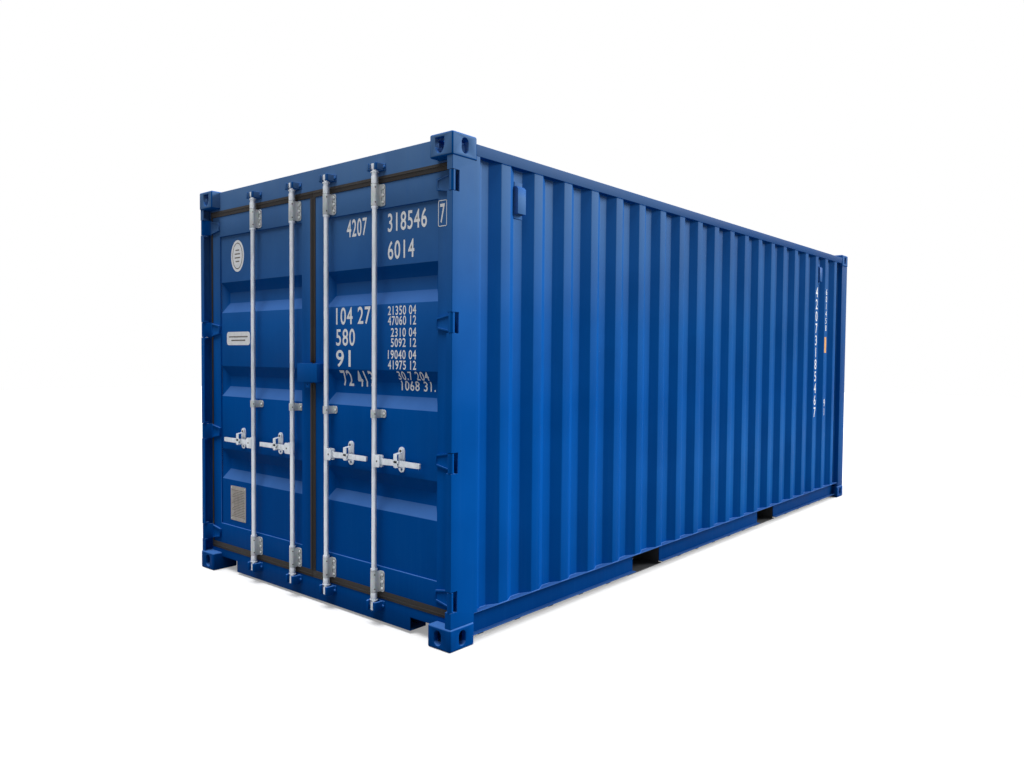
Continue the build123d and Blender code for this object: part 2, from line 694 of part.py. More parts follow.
def across(out, z, sketch, x0, x1):
    """A prism along X on a sketch of (y, z) whose middle is at out and z."""
    plane = Plane(origin=(x0, out, z), x_dir=(0, 1, 0), z_dir=(1, 0, 0))
    return extrude(plane * sketch, amount=x1 - x0)


def rivet(radius):
    """The section of a small pin or rivet, whose corners are at the radius."""
    return RegularPolygon(radius, PIN_SIDES)


def rivet_hole():
    """The section of a hole that turns on a rivet."""
    return rivet((RIVET_RADIUS + CLEARANCE) * FLAT_TO_CORNER)


def bend_round_rod(half, corner, back_x):
    """An outline round a rod, with its two front corners cut, that reaches back towards the door."""
    front = ROD_X - half
    side = half - corner
    return make_face(Polyline([(back_x, -half), (front + corner, -half), (front, -side),
                               (front, side), (front + corner, half), (back_x, half)], close=True))


def saddle(out, z, length, foot_x):
    """A bracket that holds a rod: a strap bent round it, on a plate that is bolted on at both sides."""
    inside = ROD_RADIUS + CLEARANCE
    inner_corner = SLEEVE_CHAMFER - (SLEEVE_HALF - inside) * (2 - math.sqrt(2))
    strap = bend_round_rod(SLEEVE_HALF, SLEEVE_CHAMFER, foot_x)
    strap += Pos(foot_x - FOOT_PLATE / 2, 0) * Rectangle(FOOT_PLATE, FOOT_WIDTH)
    strap -= bend_round_rod(inside, inner_corner, foot_x - FOOT_PLATE)
    return Pos(0, out, z - length / 2) * extrude(strap, amount=length)


def rod_brackets():
    pieces = []
    for out in ROD_OUT:
        pieces.append(saddle(out, SLEEVE_LOW, SLEEVE_LENGTH, DOOR_X))
        pieces.append(saddle(out, GUIDE_MIDDLE, GUIDE_LENGTH, PANEL_X))
        pieces.append(saddle(out, SLEEVE_HIGH, SLEEVE_LENGTH, DOOR_X))
    return pieces


def cam(out, z):
    """A forged end piece with two lobes that lie behind the keeper's tips when the rod is locked."""
    half = CAM_BODY / 2
    quarter = [(CAM_FLAT / 2, half), (half, CAM_FLAT / 2), (CAM_LOBE, CAM_LOBE_THICKNESS / 2)]
    upper = quarter + [(a, -b) for a, b in quarter[::-1]]
    outline = upper + [(-a, b) for a, b in upper[::-1]]
    low = z - CAM_HEIGHT / 2
    return upright([(ROD_X + b, out + a) for a, b in outline], low, low + CAM_HEIGHT)


def hub(out):
    """The fork that carries the handle, closed round the rod."""
    half = HUB_THICKNESS / 2
    back = ROD_RADIUS + HUB_BACK
    length = HUB_LENGTH + back
    middle = out + HUB_LENGTH - length / 2
    outline = chamfer(Rectangle(length, HUB_HEIGHT).vertices(), HUB_CHAMFER)
    piece = across(middle, HANDLE_UP, outline, ROD_X - half, ROD_X + half)
    slot = HANDLE_THICKNESS / 2 + 2 * CLEARANCE
    piece -= block(ROD_X - slot, ROD_X + slot, out + ROD_RADIUS + HUB_WEB, out + HUB_LENGTH,
                   HANDLE_UP - HUB_HEIGHT / 2, HANDLE_UP + HUB_HEIGHT / 2)
    return piece + across(out + PIVOT_OUT, HANDLE_UP, rivet(RIVET_RADIUS), ROD_X - slot, ROD_X + slot)


def lock_rod(out):
    """A rod with a cam at each end and the hub for its handle."""
    low, high = CAM_LOW + CAM_HEIGHT / 2, CAM_HIGH - CAM_HEIGHT / 2
    rod = Pos(ROD_X, out, (low + high) / 2) * Cylinder(ROD_RADIUS, high - low)
    return rod + cam(out, CAM_LOW) + cam(out, CAM_HIGH) + hub(out)


def handle(out):
    """A flat bar that turns up about the pin in the hub and steps in towards the door."""
    half = HANDLE_THICKNESS / 2
    line = [(ROD_X - half, out + PIVOT_OUT - HANDLE_BAR / 2), (ROD_X - half, out + STEP_START),
            (HELD_X - half, out + STEP_END), (HELD_X - half, out + HANDLE_LENGTH)]
    plan = line + [(x + HANDLE_THICKNESS, y) for x, y in line[::-1]]
    bar = upright(plan, HANDLE_UP - HANDLE_BAR / 2, HANDLE_UP + HANDLE_BAR / 2)
    root = HANDLE_BAR / 2
    tip = HANDLE_TIP / 2
    outline = Circle(root) + make_face(Polyline(
        [(0, -root), (STEP_START - PIVOT_OUT, -root), (HANDLE_LENGTH - PIVOT_OUT, -tip),
         (HANDLE_LENGTH - PIVOT_OUT, tip), (STEP_START - PIVOT_OUT, root), (0, root)], close=True))
    bar &= across(out + PIVOT_OUT, HANDLE_UP, outline, ROD_X - half, HELD_X + half)
    return bar - across(out + PIVOT_OUT, HANDLE_UP, rivet_hole(), ROD_X - half, ROD_X + half)


def handle_retainer(out):
    """A plate on the leaf with a lipped ledge that the handle is laid into and a boss for its catch."""
    y = out + RETAINER_OUT
    plate_x = PANEL_X - RETAINER_PLATE
    front = HELD_X - HANDLE_THICKNESS / 2 - CLEARANCE
    middle = CATCH_PIVOT + BOSS_SIZE - RETAINER_HEIGHT / 2
    outline = chamfer(Rectangle(RETAINER_WIDTH, RETAINER_HEIGHT).vertices(), RETAINER_CHAMFER)
    piece = across(y, middle, outline, plate_x, PANEL_X)
    ledge = HANDLE_UP - HANDLE_BAR / 2 - CLEARANCE
    half = LEDGE_WIDTH / 2
    piece += block(front - LIP_THICKNESS, plate_x, y - half, y + half, ledge - LEDGE_THICKNESS, ledge)
    piece += block(front - LIP_THICKNESS, front, y - half, y + half, ledge, ledge + LIP_HEIGHT)
    face = front - LIP_THICKNESS
    piece += across(y, CATCH_PIVOT, Rectangle(BOSS_SIZE, BOSS_SIZE), face, plate_x)
    head = face - CATCH_THICKNESS - 2 * CLEARANCE
    piece += across(y, CATCH_PIVOT, rivet(RIVET_RADIUS), head, face)
    return piece + across(y, CATCH_PIVOT, RegularPolygon(RIVET_HEAD_RADIUS, 6), head - RIVET_HEAD, head)


def catch(out):
    """The flared plate that hangs from the retainer's rivet in front of the handle."""
    y = out + RETAINER_OUT
    x1 = HELD_X - HANDLE_THICKNESS / 2 - LIP_THICKNESS - 2 * CLEARANCE
    low = -PIVOT_RISE - CATCH_DROP
    right = [(CATCH_HEAD - CATCH_CHAMFER, CATCH_HEAD), (CATCH_HEAD, CATCH_HEAD - CATCH_CHAMFER),
             (CATCH_HEAD, -CATCH_NECK_DROP), (CATCH_HALF, -CATCH_WIDE_DROP),
             (CATCH_HALF, -CATCH_WIDE_DROP - CATCH_EDGE), (CATCH_TOE, low)]
    outline = make_face(Polyline(right + [(-a, b) for a, b in right[::-1]], close=True))
    outline -= rivet_hole()
    outline -= Pos(0, low + CATCH_DROP) * RegularPolygon(SEAL_HOLE, 6)
    return across(y, CATCH_PIVOT, outline, x1 - CATCH_THICKNESS, x1)


def keeper(out, z):
    """Two prongs on a foot, one at each side of a cam, with tips turned in towards the rod."""
    reach = math.hypot(CAM_LOBE, CAM_LOBE_THICKNESS / 2) + CAM_SWEEP_GAP
    low, high = z - KEEPER_HEIGHT / 2, z + KEEPER_HEIGHT / 2
    tip_x = DOOR_X - KEEPER_DEPTH
    piece = block(DOOR_X - KEEPER_PLATE, DOOR_X, out - reach - KEEPER_WALL - KEEPER_FOOT,
                  out + reach + KEEPER_WALL + KEEPER_FOOT, low, high)
    for side in (-1, 1):
        prong = [(DOOR_X, reach), (tip_x + KEEPER_TIP_THICKNESS, reach),
                 (tip_x + KEEPER_TIP_THICKNESS, reach - KEEPER_TIP), (tip_x, reach - KEEPER_TIP),
                 (tip_x, reach + KEEPER_WALL / 2), (tip_x + KEEPER_WALL, reach + KEEPER_WALL),
                 (DOOR_X, reach + KEEPER_WALL)]
        piece += upright([(x, out + side * a) for x, a in prong], low, high)
    return piece


def lock_box():
    """A hood welded to the right leaf that laps the left one, open below, behind and in a slot on top."""
    front = DOOR_X - BOX_DEPTH
    top = BOX_BOTTOM + BOX_HEIGHT
    box = block(front, DOOR_X, -BOX_HALF, BOX_HALF, BOX_BOTTOM, top)
    box -= block(front + BOX_WALL, DOOR_X, -BOX_HALF + BOX_WALL, BOX_HALF - BOX_WALL,
                 BOX_BOTTOM, top - BOX_WALL)
    box -= block(DOOR_X - BOX_BACK_GAP, DOOR_X, -DOOR_GAP, BOX_HALF, BOX_BOTTOM, top)
    slot_y = BOX_HALF - BOX_SLOT_SETBACK
    slot_x = front + BOX_SLOT_SETBACK
    box -= block(slot_x, slot_x + BOX_SLOT_WIDTH, slot_y - BOX_SLOT_LENGTH, slot_y, top - BOX_WALL, top)
    staple = block(front + BOX_WALL, front + 2 * BOX_WALL, -STAPLE_LENGTH / 2, STAPLE_LENGTH / 2,
                   BOX_BOTTOM - STAPLE_DROP, BOX_BOTTOM + STAPLE_LAP)
    eye = rivet(STAPLE_HOLE)
    staple -= across(0, BOX_BOTTOM - STAPLE_DROP / 2, eye, front + BOX_WALL, front + 2 * BOX_WALL)
    return box + staple


def make_doors():
    rods = {"left": (2, 1), "right": (3, 4)}
    for side in ("left", "right"):
        turn = flip if side == "right" else (lambda shape: shape)
        save(side + "_door_frame", turn(leaf_frame()))
        save(side + "_door_panel", turn(leaf_panel()))
        save(side + "_door_gasket", turn(leaf_gasket()))
        save(side + "_hinge_blades", *[turn(piece) for piece in hinge_blades()])
        save(side + "_rod_brackets", *[turn(piece) for piece in rod_brackets()])
        save(side + "_handle_retainers", *[turn(handle_retainer(out)) for out in ROD_OUT])
        for number, out in zip(rods[side], ROD_OUT):
            save("lock_rod_%d" % number, turn(lock_rod(out)))
            save("handle_%d" % number, turn(handle(out)))
            save("catch_%d" % number, turn(catch(out)))
    save("lock_box", lock_box())


def make_keepers():
    for name, z in (("header_keepers", CAM_HIGH), ("sill_keepers", CAM_LOW)):
        pieces = [keeper(out, z) for out in ROD_OUT]
        save(name, *pieces, *[flip(piece) for piece in pieces])


# Vents

def vent(x):
    """A hood vent in a valley of the wall, open below, with a tab above and below it, on the +Y side."""
    half = WAVE_VALLEY / 2 - CLEARANCE
    middle = TOP_RAIL_UNDER - VENT_DROP
    low, high = middle - VENT_HEIGHT / 2, middle + VENT_HEIGHT / 2
    y1 = VALLEY_FACE + VENT_DEPTH
    wall = VENT_WALL
    hood = lengthwise([(VALLEY_FACE, low), (y1, low), (y1, high - VENT_ROUND), (y1 - VENT_ROUND, high),
                       (VALLEY_FACE, high)], x - half, x + half)
    hood -= block(x - half + wall, x + half - wall, VALLEY_FACE + wall, y1 - wall, low, high - VENT_ROUND)
    hood += block(x - half, x + half, VALLEY_FACE, VALLEY_FACE + VENT_TAB_THICKNESS,
                  low - VENT_TAB, high + VENT_TAB)
    return hood


def make_vents():
    feet = [x for x, y in wave_line() if y == VALLEY_FACE]
    valleys = [(a + b) / 2 for a, b in zip(feet[::2], feet[1::2])]
    vents = [vent(valleys[1]), vent(valleys[-3])]
    save("wall_vents", *vents, *[flip(piece) for piece in vents])


os.makedirs("parts", exist_ok=True)
make_castings()
make_posts()
make_end_frames()
make_side_rails()
make_walls()
make_roof()
make_underframe()
make_keepers()
make_doors()
make_vents()
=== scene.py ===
import bmesh
import bpy
import json
import math
from mathutils import Matrix, Vector

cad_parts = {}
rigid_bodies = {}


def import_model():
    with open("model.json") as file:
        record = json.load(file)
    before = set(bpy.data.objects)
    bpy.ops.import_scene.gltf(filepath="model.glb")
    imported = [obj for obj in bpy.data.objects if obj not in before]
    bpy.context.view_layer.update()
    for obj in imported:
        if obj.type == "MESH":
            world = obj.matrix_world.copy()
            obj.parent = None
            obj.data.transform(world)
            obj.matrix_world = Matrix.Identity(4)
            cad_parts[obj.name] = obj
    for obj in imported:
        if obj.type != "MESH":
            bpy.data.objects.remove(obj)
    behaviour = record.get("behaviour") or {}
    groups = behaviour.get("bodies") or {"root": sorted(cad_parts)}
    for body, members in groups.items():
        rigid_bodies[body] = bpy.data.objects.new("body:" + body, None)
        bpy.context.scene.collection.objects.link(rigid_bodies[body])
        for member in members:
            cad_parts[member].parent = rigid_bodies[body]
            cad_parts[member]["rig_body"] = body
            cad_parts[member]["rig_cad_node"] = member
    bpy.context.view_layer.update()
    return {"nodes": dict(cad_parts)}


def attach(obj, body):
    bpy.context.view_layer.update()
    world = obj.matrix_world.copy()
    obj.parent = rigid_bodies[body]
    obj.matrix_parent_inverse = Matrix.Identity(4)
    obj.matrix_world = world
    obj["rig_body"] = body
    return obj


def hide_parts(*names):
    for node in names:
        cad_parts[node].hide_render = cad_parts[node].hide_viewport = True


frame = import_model()
nodes = frame["nodes"]
MM = 0.001

# Places and sizes in millimetres, from the CAD or measured in the photograph: the doors are at -X, the
# blind end at +X. RODS gives each lock rod's number, its side and its distance from the middle.
END_X = 3029.0
CASTING_X = 2851.0
SIDE_Y = 1219.0
CASTING_Y = 1057.0
TOP_Z = 2591.0
CASTING_Z = 118.0
END_HOLE_Y = 1129.5
END_HOLE_Z = 2532.0
END_HOLE_HALF_Y = 31.0
END_HOLE_HALF_Z = 40.5
FLOOR_Z = 163.0
RAIL_Z = 2499.0
DOOR_X = -2967.0
PANEL_X = -2957.0
CREST_Y = 1211.0
HINGE = (-3010.0, 1200.0)
HINGES = (253.0, 953.0, 1653.0, 2353.0)
BARREL_HALF = 50.0
ROD_X = -2999.0
ROD_OUT = (170.0, 600.0)
RODS = ((1, 1, 600.0), (2, 1, 170.0), (3, -1, 170.0), (4, -1, 600.0))
ROD_RADIUS = 14.0
BEARINGS = (242.0, 2356.0)
BEARING_LENGTH = 118.0
GUIDE_Z = 1168.0
GUIDE_LENGTH = 45.0
STRAP_HALF = 19.5
STRAP_WALL = 5.0
FOOT_HALF = 53.0
FOOT_BOLT_OUT = 38.5
FOOT_BOLT_ROWS = (-38.0, 0.0, 38.0)
STRAP_HOLE_ROWS = (-40.0, 40.0)
STRAP_HOLE_TURN = math.radians(62)
CAM_Z = (105.0, 2515.0)
CAM_TOP = 2523.0
KEEPER_HALF = 30.0
KNOB_OUT = 46.0
HUB_HALF = 44.0
HANDLE_Z = 912.0
PIVOT_OUT = 40.0
RETAINER_OUT = 182.0
CATCH_Z = 975.0
EAR_X = -2970.0
TONGUE_X = -3008.0
LOCK_BOX_Z = (1318.0, 1443.0)
LEAF_Z = (167.0, 2421.0)
LEAF_Y = 1168.0
SEAL_Z = (145.0, 2460.0)
RECESS_EDGES = (1200.0, 1268.0, 1338.0, 1406.0)
WAVE_FOOT = -2720.0
WAVE_STEP = 277.95
WAVE_CREST = 104.0


# Modelling helpers

def only(*pieces):
    """Selects these pieces and nothing else."""
    bpy.ops.object.select_all(action="DESELECT")
    for piece in pieces:
        piece.select_set(True)
    bpy.context.view_layer.objects.active = pieces[-1]


def pick(piece, kind, test):
    """Leaves the piece open in edit mode with only what passes the test selected."""
    only(piece)
    bpy.ops.object.mode_set(mode="EDIT")
    bpy.ops.mesh.select_mode(type=kind)
    bpy.ops.mesh.select_all(action="DESELECT")
    shape = bmesh.from_edit_mesh(piece.data)
    parts = {"VERT": shape.verts, "EDGE": shape.edges, "FACE": shape.faces}[kind]
    found = [part for part in parts if test(part)]
    for part in found:
        part.select_set(True)
    shape.select_flush_mode()
    bmesh.update_edit_mesh(piece.data)
    return len(found)


def close():
    """Leaves edit mode."""
    bpy.ops.object.mode_set(mode="OBJECT")


def settle(piece):
    """Puts a piece's place, turn and size into its mesh."""
    only(piece)
    bpy.ops.object.transform_apply(location=True, rotation=True, scale=True)


def apply(piece, modifier):
    """Makes a modifier's shape the piece's own."""
    only(piece)
    bpy.ops.object.modifier_apply(modifier=modifier.name)


def face_outwards(piece):
    """Turns every face's front to the outside."""
    pick(piece, "FACE", lambda face: True)
    bpy.ops.mesh.normals_make_consistent(inside=False)
    close()


def slab(name, low, high):
    """A box between two corners in millimetres."""
    middle = [(a + b) / 2 * MM for a, b in zip(low, high)]
    size = [abs(b - a) * MM for a, b in zip(low, high)]
    bpy.ops.mesh.primitive_cube_add(size=1, location=middle, scale=size)
    piece = bpy.context.object
    piece.name = name
    settle(piece)
    return piece


def bar(name, radius, start, end, sides=24, tip=None):
    """A round or many-sided bar, or a cone where the tip has another radius."""
    start, end = Vector(start) * MM, Vector(end) * MM
    run = end - start
    bpy.ops.mesh.primitive_cone_add(vertices=sides, radius1=radius * MM, depth=run.length,
                                    radius2=(radius if tip is None else tip) * MM,
                                    location=(start + end) / 2,
                                    rotation=run.to_track_quat("Z", "Y").to_euler())
    piece = bpy.context.object
    piece.name = name
    settle(piece)
    return piece


def oval(x, y, z, half_y, half_z, depth):
    """A flat oval in millimetres that lies across X and reaches back by a depth from x."""
    piece = bar("oval", 1.0, (x, 0, 0), (x - depth, 0, 0), 48)
    piece.data.transform(Matrix.Translation((0, y * MM, z * MM)) @ Matrix.Diagonal((1, half_y, half_z, 1)))
    return piece


def extrude(x, y, z):
    """Draws out the open piece's selected edges."""
    bpy.ops.mesh.extrude_region_move(TRANSFORM_OT_translate={"value": (x, y, z)})


def bent_strip(name, y, half, bends, wall):
    """A strip of sheet that faces the doors' front and follows its (x, z) bends downwards."""
    (x, high), (_, low) = bends[:2]
    bpy.ops.mesh.primitive_plane_add(size=1, location=(x * MM, y * MM, (high + low) / 2 * MM),
                                     rotation=(0, -math.pi / 2, 0))
    strip = bpy.context.object
    strip.name = name
    strip.scale = ((high - low) * MM, 2 * half * MM, 1)
    settle(strip)
    for (x0, z0), (x1, z1) in zip(bends[1:], bends[2:]):
        pick(strip, "EDGE", lambda edge: runs_along(edge, 1)
             and abs(edge.verts[0].co.z - z0 * MM) < 0.0001)
        extrude((x1 - x0) * MM, 0, (z1 - z0) * MM)
        close()
    return thicken(strip, wall)


def thicken(piece, wall):
    """Gives an open sheet its wall, on the side behind its face."""
    depth = piece.modifiers.new("wall", "SOLIDIFY")
    depth.thickness = wall * MM
    depth.offset = -1
    apply(piece, depth)
    return piece


def tube(name, outer, wall, start, end):
    """A round tube, open at both ends."""
    start, end = Vector(start) * MM, Vector(end) * MM
    run = end - start
    bpy.ops.mesh.primitive_cylinder_add(vertices=40, radius=outer * MM, depth=run.length,
                                        end_fill_type="NOTHING", location=(start + end) / 2,
                                        rotation=run.to_track_quat("Z", "Y").to_euler())
    piece = bpy.context.object
    piece.name = name
    settle(piece)
    return thicken(piece, wall)


def join(name, pieces):
    """Joins pieces into one, in the last one's place."""
    only(*pieces)
    if len(pieces) > 1:
        bpy.ops.object.join()
    piece = bpy.context.object
    piece.name = name
    return piece


def mirrored(piece):
    """Moves a piece to the -Y side."""
    piece.scale.y = -1
    settle(piece)
    face_outwards(piece)
    return piece


def soften(piece, width, segments=2, angle=35):
    """Rounds every edge sharper than the angle."""
    rounding = piece.modifiers.new("edge", "BEVEL")
    rounding.width = width * MM
    rounding.segments = segments
    rounding.limit_method = "ANGLE"
    rounding.angle_limit = math.radians(angle)
    rounding.use_clamp_overlap = True
    apply(piece, rounding)
    return piece


def round_edges(piece, test, width, segments=4):
    """Rounds only the edges that pass the test."""
    if pick(piece, "EDGE", test):
        bpy.ops.mesh.bevel(offset=width * MM, segments=segments, profile=0.5, clamp_overlap=True,
                           loop_slide=False)
    close()


def cut(piece, cutter):
    """Takes one piece's shape out of another."""
    hole = piece.modifiers.new("hole", "BOOLEAN")
    hole.operation = "DIFFERENCE"
    hole.object = cutter
    apply(piece, hole)
    bpy.data.objects.remove(cutter)


def runs_along(edge, axis, least=0.0, most=1e9):
    """True for an edge along an axis whose length is between the limits, in millimetres."""
    run = edge.verts[1].co - edge.verts[0].co
    return least * MM < run.length < most * MM and abs(run[axis]) > 0.999 * run.length


def turned(edge, low=15.0, high=100.0):
    """True where the two faces at an edge meet at an angle between the limits, in degrees."""
    return len(edge.link_faces) == 2 and low < math.degrees(edge.calc_face_angle(0)) < high


def merged(node):
    """A copy of a CAD node with its loose triangles joined into whole flat faces."""
    source = nodes[node]
    piece = source.copy()
    piece.data = source.data.copy()
    piece.name = node + "_dressed"
    piece.parent = None
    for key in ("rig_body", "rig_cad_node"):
        if key in piece:
            del piece[key]
    bpy.context.scene.collection.objects.link(piece)
    pick(piece, "VERT", lambda vert: True)
    bpy.ops.mesh.remove_doubles(threshold=0.00001)
    bpy.ops.mesh.dissolve_limited(angle_limit=math.radians(0.3))
    close()
    return piece


def dress(piece, material, body, node=None):
    """Gives a finished piece its material and its body, and hides the CAD node that it stands for."""
    piece.data.materials.clear()
    piece.data.materials.append(material)
    only(piece)
    bpy.ops.object.shade_smooth_by_angle(angle=math.radians(40))
    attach(piece, body)
    if node:
        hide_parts(node)
    return piece


def line_inside(piece, material, test):
    """Paints the faces that look into the container with the lining's paint."""
    piece.data.materials.append(material)
    last = len(piece.data.materials) - 1
    for face in piece.data.polygons:
        if test(face):
            face.material_index = last


def bead(piece, name, test, radius):
    """A weld bead along the edges that pass the test."""
    pick(piece, "EDGE", test)
    bpy.ops.mesh.duplicate()
    bpy.ops.mesh.separate(type="SELECTED")
    close()
    line = [other for other in bpy.context.selected_objects if other != piece][0]
    only(line)
    bpy.ops.object.convert(target="CURVE")
    line.data.bevel_depth = radius * MM
    line.data.bevel_resolution = 1
    line.data.use_fill_caps = True
    bpy.ops.object.convert(target="MESH")
    line.name = name
    return line


# Materials

def hex_colour(text):
    """An sRGB hex colour as linear values."""
    values = [int(text[i:i + 2], 16) / 255 for i in (1, 3, 5)]
    return [v / 12.92 if v <= 0.04045 else ((v + 0.055) / 1.055) ** 2.4 for v in values] + [1.0]


def grey(level):
    """A grey of that level, already linear."""
    return [level, level, level, 1.0]


def add(tree, kind, settings, output=0):
    """Adds a node and gives one of its outputs.

    A setting is a property of the node, the value or the link of an input, or the stops of a ramp."""
    made = tree.nodes.new(kind)
    for key, value in settings.items():
        if key == "stops":
            while len(made.color_ramp.elements) < len(value):
                made.color_ramp.elements.new(0.5)
            for element, (level, colour) in zip(made.color_ramp.elements, value):
                element.position = level
                element.color = colour
        elif isinstance(value, bpy.types.NodeSocket):
            tree.links.new(value, made.inputs[key])
        elif isinstance(key, str) and hasattr(made, key):
            setattr(made, key, value)
        else:
            made.inputs[key].default_value = value
    return made.outputs[output]


def new_material(name, metallic, roughness, specular=0.5):
    """A new material with its tree of nodes and its surface shader."""
    material = bpy.data.materials.new(name)
    material.use_nodes = True
    surface = material.node_tree.nodes["Principled BSDF"]
    surface.inputs["Metallic"].default_value = metallic
    surface.inputs["Roughness"].default_value = roughness
    surface.inputs["Specular IOR Level"].default_value = specular
    return material, material.node_tree, surface


def lay_over(tree, base, pattern, low, high, colour):
    """Lays a colour over the base; low and high pair a level of the pattern with how much shows there."""
    stops = [(level, grey(share)) for level, share in (low, high)]
    mask = add(tree, "ShaderNodeValToRGB", {0: pattern, "stops": stops})
    return add(tree, "ShaderNodeMix", {"data_type": "RGBA", 0: mask, 6: base, 7: colour}, 2)


def finish_coat(tree, surface, base, height, depth_mm, roughness=None):
    """Gives a surface its colour, a bump of that depth from a height pattern, and its change of gloss."""
    bump = add(tree, "ShaderNodeBump", {"Strength": 1.0, "Distance": depth_mm * MM, "Height": height})
    tree.links.new(base, surface.inputs["Base Color"])
    tree.links.new(bump, surface.inputs["Normal"])
    if roughness is not None:
        tree.links.new(roughness, surface.inputs["Roughness"])


def container_paint(name, darkening):
    """Blue marine topcoat sprayed on steel: satin, with a painted sheen that grows lighter towards the roof
    and a darkening of the given amount.
    """
    material, tree, surface = new_material(name, 0.0, 0.45, 0.01)
    place = add(tree, "ShaderNodeTexCoord", {}, "Object")
    along = add(tree, "ShaderNodeSeparateXYZ", {0: place}).node.outputs
    # from the sill to the header, 2.6 m up, darker towards the bottom: the plain blue of folds and edges,
    # then a painted sheen, lighter towards the top, on faces that look straight out, which turns more even
    # towards the blind end, 6 m away
    tones = (((0.0, "#00448C"), (0.066, "#004E9E"), (0.45, "#0054A6"), (1.0, "#0056A4")),
             ((0.0, "#00448C"), (0.066, "#004E9E"), (0.27, "#0054A8"), (0.46, "#0056AA"),
              (0.65, "#1B61B0"), (0.85, "#4472AC"), (1.0, "#5A7EAC")),
             ((0.0, "#00448C"), (0.066, "#0454A0"), (0.14, "#1462AE"), (0.27, "#2069B6"),
              (0.46, "#0C5CAA"), (0.65, "#105EA6"), (0.85, "#2A64A4"), (1.0, "#2C60A0")))
    rise = add(tree, "ShaderNodeMath", {"operation": "DIVIDE", 0: along[2], 1: 2.6})
    ramps = [[(level, hex_colour(tone)) for level, tone in row] for row in tones]
    base, painted_sheen, far_painted_sheen = [add(tree, "ShaderNodeValToRGB", {0: rise, "stops": stops}) for stops in ramps]
    length = add(tree, "ShaderNodeMath", {"operation": "MULTIPLY_ADD", 0: along[0], 1: 1 / 6, 2: 0.5})
    # the painted sheen turns more even towards the blind end
    painted_sheen = lay_over(tree, painted_sheen, length, (0.13, 0.0), (0.6, 1.0), far_painted_sheen)
    normal = add(tree, "ShaderNodeTexCoord", {}, "Normal")
    facing = add(tree, "ShaderNodeSeparateXYZ", {0: normal}).node.outputs
    ends, sides = [add(tree, "ShaderNodeMath", {"operation": "ABSOLUTE", 0: facing[i]}) for i in (0, 1)]
    # the painted sheen lies only on faces that look straight out along X or Y
    straight = add(tree, "ShaderNodeMath", {"operation": "MAXIMUM", 0: ends, 1: sides})
    base = lay_over(tree, base, straight, (0.90, 0.0), (0.97, 1.0), painted_sheen)
    # painted light from above, with some pale dust: every face that looks up is made lighter
    base = lay_over(tree, base, facing[2], (0.2, 0.0), (0.42, 1.0), hex_colour("#4474BA"))
    # rain streaks about 30 mm wide and 1 m long
    stretched = add(tree, "ShaderNodeMapping", {"Vector": place, "Scale": (34.0, 34.0, 1.0)})
    streaks = add(tree, "ShaderNodeTexNoise", {"Vector": stretched, "Scale": 1.0, "Detail": 4.0})
    base = lay_over(tree, base, streaks, (0.5, 0.0), (0.8, 0.12), hex_colour("#2A6CBC"))
    # faint darker clouds of road film, half a metre across
    clouds = add(tree, "ShaderNodeTexNoise", {"Vector": place, "Scale": 2.2, "Detail": 5.0})
    base = lay_over(tree, base, clouds, (0.35, 0.16), (0.6, 0.0), hex_colour("#00306E"))
    # darker by the given amount, and a little more in slow clouds
    base = lay_over(tree, base, clouds, (0.2, darkening + 0.05), (0.8, darkening), hex_colour("#002A60"))
    # scuffs down to the pale primer, 5 to 20 mm, few and far between
    stretched = add(tree, "ShaderNodeMapping", {"Vector": place, "Scale": (55.0, 55.0, 40.0)})
    scuffs = add(tree, "ShaderNodeTexNoise",
                 {"Vector": stretched, "Scale": 1.0, "Detail": 6.0, "Roughness": 0.65})
    base = lay_over(tree, base, scuffs, (0.74, 0.0), (0.77, 0.45), hex_colour("#A9C0DE"))
    # specks of rust that bleed through the film, 3 to 10 mm
    stretched = add(tree, "ShaderNodeMapping", {"Vector": place, "Scale": (72.0, 72.0, 60.0)})
    rust = add(tree, "ShaderNodeTexNoise",
               {"Vector": stretched, "Scale": 1.0, "Detail": 7.0, "Roughness": 0.7})
    base = lay_over(tree, base, rust, (0.77, 0.0), (0.81, 0.5), hex_colour("#4A3326"))
    # orange peel of the spray coat, drawn 6 mm across so that it shows
    peel = add(tree, "ShaderNodeTexNoise", {"Vector": place, "Scale": 170.0, "Detail": 2.0})
    gloss = add(tree, "ShaderNodeValToRGB", {0: clouds, "stops": [(0.3, grey(0.38)), (0.7, grey(0.54))]})
    finish_coat(tree, surface, base, peel, 0.1, gloss)
    return material


def zinc_steel(name, colour, dark, rough=0.5, metallic=0.5):
    """Galvanised forgings and tube: dull light grey with soft spangle and grey-green weathering."""
    material, tree, surface = new_material(name, metallic, rough)
    place = add(tree, "ShaderNodeTexCoord", {}, "Object")
    # spangle crystals about 10 mm across
    spangle = add(tree, "ShaderNodeTexVoronoi", {"Vector": place, "Scale": 100.0}, "Color")
    base = add(tree, "ShaderNodeMix", {"data_type": "RGBA", "blend_type": "OVERLAY", 0: 0.07,
                                       6: hex_colour(colour), 7: spangle}, 2)
    # weathering in patches about 35 mm wide and 110 mm long
    stretched = add(tree, "ShaderNodeMapping", {"Vector": place, "Scale": (30.0, 30.0, 9.0)})
    clouds = add(tree, "ShaderNodeTexNoise", {"Vector": stretched, "Scale": 1.0, "Detail": 5.0})
    base = lay_over(tree, base, clouds, (0.42, 0.0), (0.75, 0.6), hex_colour(dark))
    # the skin of the zinc, drawn 2.5 mm across so that it shows
    skin = add(tree, "ShaderNodeTexNoise", {"Vector": place, "Scale": 400.0, "Detail": 3.0})
    stops = [(0.3, grey(rough - 0.08)), (0.7, grey(rough + 0.12))]
    gloss = add(tree, "ShaderNodeValToRGB", {0: clouds, "stops": stops})
    finish_coat(tree, surface, base, skin, 0.08, gloss)
    return material


